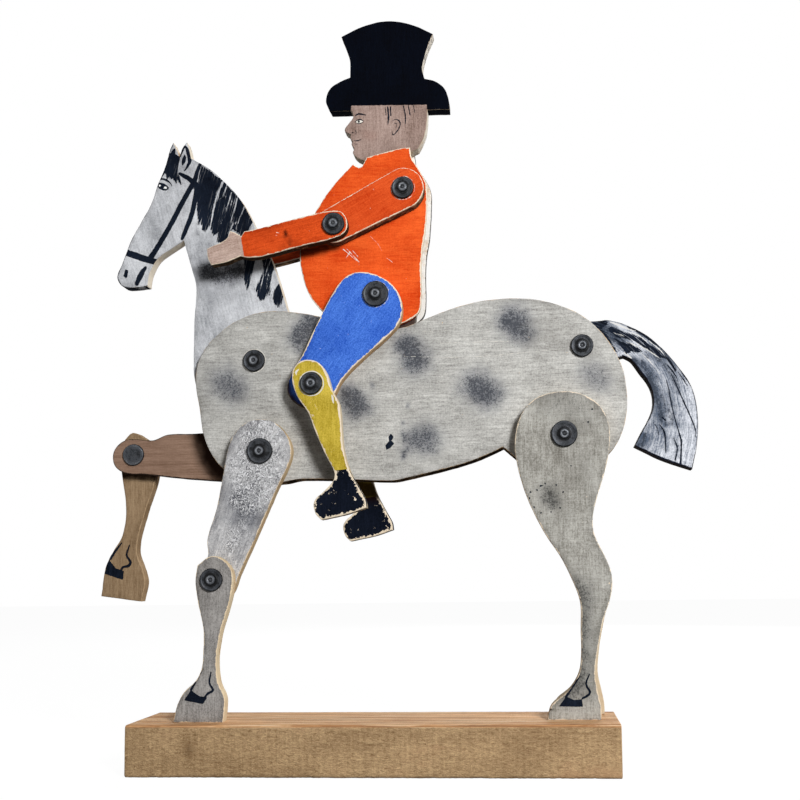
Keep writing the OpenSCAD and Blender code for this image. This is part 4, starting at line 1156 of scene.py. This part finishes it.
CALF_CHIPS = [
    [(31.8, 60.2, .5), (29.9, 58.2, .9), (30.4, 55.8, .2)],
    [(57.4, 40, .4), (58, 37.4, .8), (58.6, 34, .3)],
    [(36.2, 20.6, .3), (37.8, 16.5, .3)],
    [(44, 34, .1), (46.5, 29, .15)],
]
UPPER_LEG_FLAKES = [([(0, 10, 18), (-2, -14, 22), (-6, -34, 16)], 1), ([(-14, -58, 12), (-22, -80, 10)], .42)]
# Painted shade and painted shadow, laid as dark patches: on the raised leg and shin where the body shades
# them, on the body beside the calf, on the near thigh's end under the calf, on the tongue between the torso
# plates, under the forearm on the torso, and on the far thigh, calf and arms behind the rider's near side.
LEG_PAINTED_SHADE = [([(-55, 16, 7), (-50, 3, 8), (-41, -9, 9), (-31, -18, 11)], 1), ([(-34, 6, 16), (-10, 0, 24)], 1)]
SHIN_PAINTED_SHADOW = [([(-124, -12, 3.4), (-110, -13, 3.8), (-95, -15, 3.4)], .95)]
BODY_PAINTED_SHADOW = [([(25, 34, 9), (32, 20, 11), (41, 4, 11), (50, -11, 11), (56, -20, 9)], .52)]
NEAR_THIGH_PAINTED_SHADE = [([(21, 49, 5), (21.5, 40, 9), (26, 33.5, 9), (34, 30, 7)], 1)]
TONGUE_PAINTED_SHADE = [([(106, 200, 24), (100, 190, 50), (90, 120, 60)], 1)]
TORSO_PAINTED_SHADOW = [([(28, 157.5, 5), (42, 158.5, 5), (56, 160, 5)], .7)]
THIGH_PAINTED_SHADE = [([(42, 8, 13), (56, 20, 14)], 1)]
CALF_PAINTED_SHADE = [([(62, -27, 12), (80, -27, 11), (92, -28, 9)], 1)]
ARM_PAINTED_SHADE = [([(-4, 168, 16), (20, 172, 18)], .64)]

# Where the tail's brush strokes turn: (x, z) of the middle, and the radius.
TAIL_BEND = (235, 20, 75)
BOTH = (-1, 1)
BOARDS = [
    ("horse_body_near", horse_paint, dict(
        turn=0, ink=BODY_INK, blots=BODY_BLOTS, painted_shade=BODY_PAINTED_SHADOW,
        pale=[halo("neck_rivet", 9, .28)] + BODY_SCRATCHES)),
    ("horse_body_far", horse_paint, dict(turn=0, side=1, blots=BODY_BLOTS)),
    ("horse_neck", neck_paint, dict(
        turn=105, painted=BOTH, ink=HORSE_INK, brushed=MANE, gaps=HORSE_GAPS + EYE_WHITES, pale=EYE_WHITES,
        blots=NECK_BLOTS, walls=[(MUZZLE, 1)])),
    ("horse_tail", tail_paint, dict(
        turn=TAIL_BEND, painted=BOTH, ink=TAIL_LINES, brushed=TAIL_INK, gaps=TAIL_PALE, pale=TAIL_PALE,
        blots=TAIL_BLOTS, coated=0)),
    ("front_upper_leg_near", leg_paint, dict(turn=71, blots=UPPER_LEG_BLOTS, flakes=UPPER_LEG_FLAKES)),
    ("front_lower_leg_near", hoof_paint, dict(ink=NEAR_HOOF_INK)),
    ("front_upper_leg_far", raised_paint, dict(turn=0, side=1, painted_shade=LEG_PAINTED_SHADE)),
    ("front_lower_leg_far", raised_shin, dict(side=1, painted=BOTH, ink=FAR_HOOF_INK, painted_shade=SHIN_PAINTED_SHADOW)),
    ("hind_leg_near", hind_paint, dict(ink=HIND_INK, blots=HIND_BLOTS, painted_shade=HIND_PAINTED_SHADE)),
    ("hind_leg_far", hind_paint, dict(side=1, ink=HIND_INK, blots=HIND_BLOTS)),
    ("torso_near", coat_paint, dict(turn=0, pale=TORSO_SCRATCHES, painted_shade=TORSO_PAINTED_SHADOW, walls=[(COAT_TAIL, 1)])),
    ("torso_far", far_coat_paint, dict(turn=0, side=1)),
    ("rider_head", head_paint, dict(
        painted=BOTH, ink=FACE_INK, pale=FACE_WHITE, zone=[HAT], blots=FACE_BLOTS,
        walls=[(HAT, 1), (HAT_BACK, 0)], painted_shade=TONGUE_PAINTED_SHADE, shaded_through=True)),
    ("upper_arm_near", arm_paint, dict(turn=30, pale=[halo("arm_shoulder_rivet", 9.2, .12)])),
    ("upper_arm_far", arm_paint, dict(turn=20, side=1, painted=BOTH, painted_shade=ARM_PAINTED_SHADE)),
    ("forearm_near", sleeve_paint, dict(turn=13, zone=[HAND], blots=SLEEVE_BLOTS, pale=SLEEVE_SCUFFS)),
    ("forearm_far", sleeve_paint, dict(turn=13, side=1, painted=BOTH, zone=[HAND], painted_shade=ARM_PAINTED_SHADE)),
    ("thigh_near", thigh_paint, dict(
        turn=55, specks=THIGH_SPECKS, painted_shade=NEAR_THIGH_PAINTED_SHADE, pale=[halo("rider_hip_rivet", 10.2, .12)])),
    ("thigh_far", thigh_paint, dict(turn=63, side=1, painted=BOTH, painted_shade=THIGH_PAINTED_SHADE)),
    ("calf_near", calf_paint, dict(
        zone=[NEAR_BOOT], walls=[(NEAR_BOOT, .75)],
        pale=[halo("rider_knee_rivet_near", 9.3, .4)] + CALF_CHIPS)),
    ("calf_far", calf_paint, dict(
        side=1, painted=BOTH, zone=[FAR_BOOT], painted_shade=CALF_PAINTED_SHADE, walls=[(FAR_BOOT, .75)],
        pale=[halo("rider_knee_rivet_far", 9.3, .4)])),
]
for number, (node, material, how) in enumerate(BOARDS):
    board(node, material, seed=number + 1, **how)

# Rivets with the side of their tip and their kind of head, and washers with their rivets and side.
SIDES = (("near", -1), ("far", 1))
RIVETS = [(f"{joint}_rivet", -1, "plain")
          for joint in ("neck", "tail", "front_shoulder", "hind", "arm_shoulder", "rider_hip")]
RIVETS += [(f"front_knee_rivet_{which}", side, "plain") for which, side in SIDES]
RIVETS += [(f"{joint}_rivet_{which}", side, "sunk")
           for joint in ("elbow", "rider_knee") for which, side in SIDES]
WASHERS = [
    ("body_washers", ["neck_rivet", "tail_rivet"], -1),
    ("torso_washers", ["arm_shoulder_rivet", "rider_hip_rivet"], -1),
    ("leg_washers", ["front_shoulder_rivet", "hind_rivet"], -1),
]
WASHERS += [(f"{joint}_washer_{which}", [f"{joint}_rivet_{which}"], side)
            for joint in ("front_knee", "elbow", "rider_knee") for which, side in SIDES]
for number, (node, side, head) in enumerate(RIVETS):
    rivet(node, side, head, number)
for number, (node, rivets, side) in enumerate(WASHERS):
    washers(node, rivets, side, 20 + 3 * number)
timber_base("base")

# The spacers and dowels keep their CAD shape and get plain turned wood.
g = new_graph("turned wood")
tone, relief = wood_colour(g, g.add("ShaderNodeTexCoord").outputs["Object"], PINE)
turned_wood = g.finish(tone, g.plus(.7, g.sum((relief, .6, 0))), relief)
for node in ("front_spacer", "hind_spacer", "hoof_dowels"):
    mesh = frame["nodes"][node].data
    mesh.materials.clear()
    mesh.materials.append(turned_wood)

# ---------------------------------------------------------------- floor, light and camera

scene = bpy.context.scene
scene.view_settings.view_transform = "Standard"


def seen_directly(g):
    """1 for what the camera sees, also in a reflection, and 0 for light that falls on things."""
    path = g.add("ShaderNodeLightPath").outputs
    return g.math("MAXIMUM", g.math("MAXIMUM", path["Is Camera Ray"], path["Is Glossy Ray"]),
                  path["Is Transmission Ray"])


# The floor and the world show as white, and give the object only a little light.
WHITE = (1, 1, 1, 1)
FLOOR_GLOW, GLOW_SHARE, WORLD_LIGHT = 1.38, .7, .08

floor_mesh = bpy.data.meshes.new("floor")
floor_mesh.from_pydata([(-4, -4, 0), (4, -4, 0), (4, 4, 0), (-4, 4, 0)], [], [(0, 1, 2, 3)])
floor = bpy.data.objects.new("floor", floor_mesh)
scene.collection.objects.link(floor)
g = new_graph("pale floor")
lit = g.add("ShaderNodeBsdfDiffuse", {"Color": rgb(130, 130, 130)})
glow = g.add("ShaderNodeEmission", {"Color": WHITE, "Strength": FLOOR_GLOW})
glowing = g.times(seen_directly(g), GLOW_SHARE)
floor_mesh.materials.append(g.surface(g.add("ShaderNodeMixShader", {
    0: glowing, 1: lit.outputs[0], 2: glow.outputs[0]})))

world = bpy.data.worlds.new("studio")
scene.world = world
g = Graph(world)
g.surface(g.add("ShaderNodeBackground", {
    "Color": WHITE, "Strength": g.mix_value(seen_directly(g), WORLD_LIGHT, 1.0)}), "World")


def lamp(name, place, target, size, power):
    data = bpy.data.lights.new(name, "AREA")
    data.shape, data.size, data.energy = "DISK", size, power
    made = bpy.data.objects.new(name, data)
    made.location = place
    made.rotation_euler = (Vector(target) - Vector(place)).to_track_quat("-Z", "Y").to_euler()
    scene.collection.objects.link(made)


lamp("key", (.88, -1.2, .8), (0, 0, .3), .42, 27)
lamp("fill", (-1.1, -1.3, .7), (0, 0, .3), 1.5, 2.6)
lamp("back", (.4, 1.5, .9), (0, 0, .3), 1.5, 18)

# The camera is placed and turned to match the photo.
camera_data = bpy.data.cameras.new("camera")
camera = bpy.data.objects.new("camera", camera_data)
scene.collection.objects.link(camera)
scene.camera = camera
camera_data.lens, camera_data.sensor_width = 40, 36
camera_data.shift_x, camera_data.shift_y = -.092, .14
yaw, pitch, roll = (math.radians(a) for a in (3.75, 4, -.7))
right = Vector((math.cos(yaw), math.sin(yaw), 0))
ahead = Vector((-math.sin(yaw) * math.cos(pitch), math.cos(yaw) * math.cos(pitch), math.sin(pitch)))
up = right.cross(ahead)
right, up = (right * math.cos(roll) + up * math.sin(roll), up * math.cos(roll) - right * math.sin(roll))
place = Matrix.Translation((.1193, -.6715, .145))
camera.matrix_world = place @ Matrix((right, up, -ahead)).transposed().to_4x4()
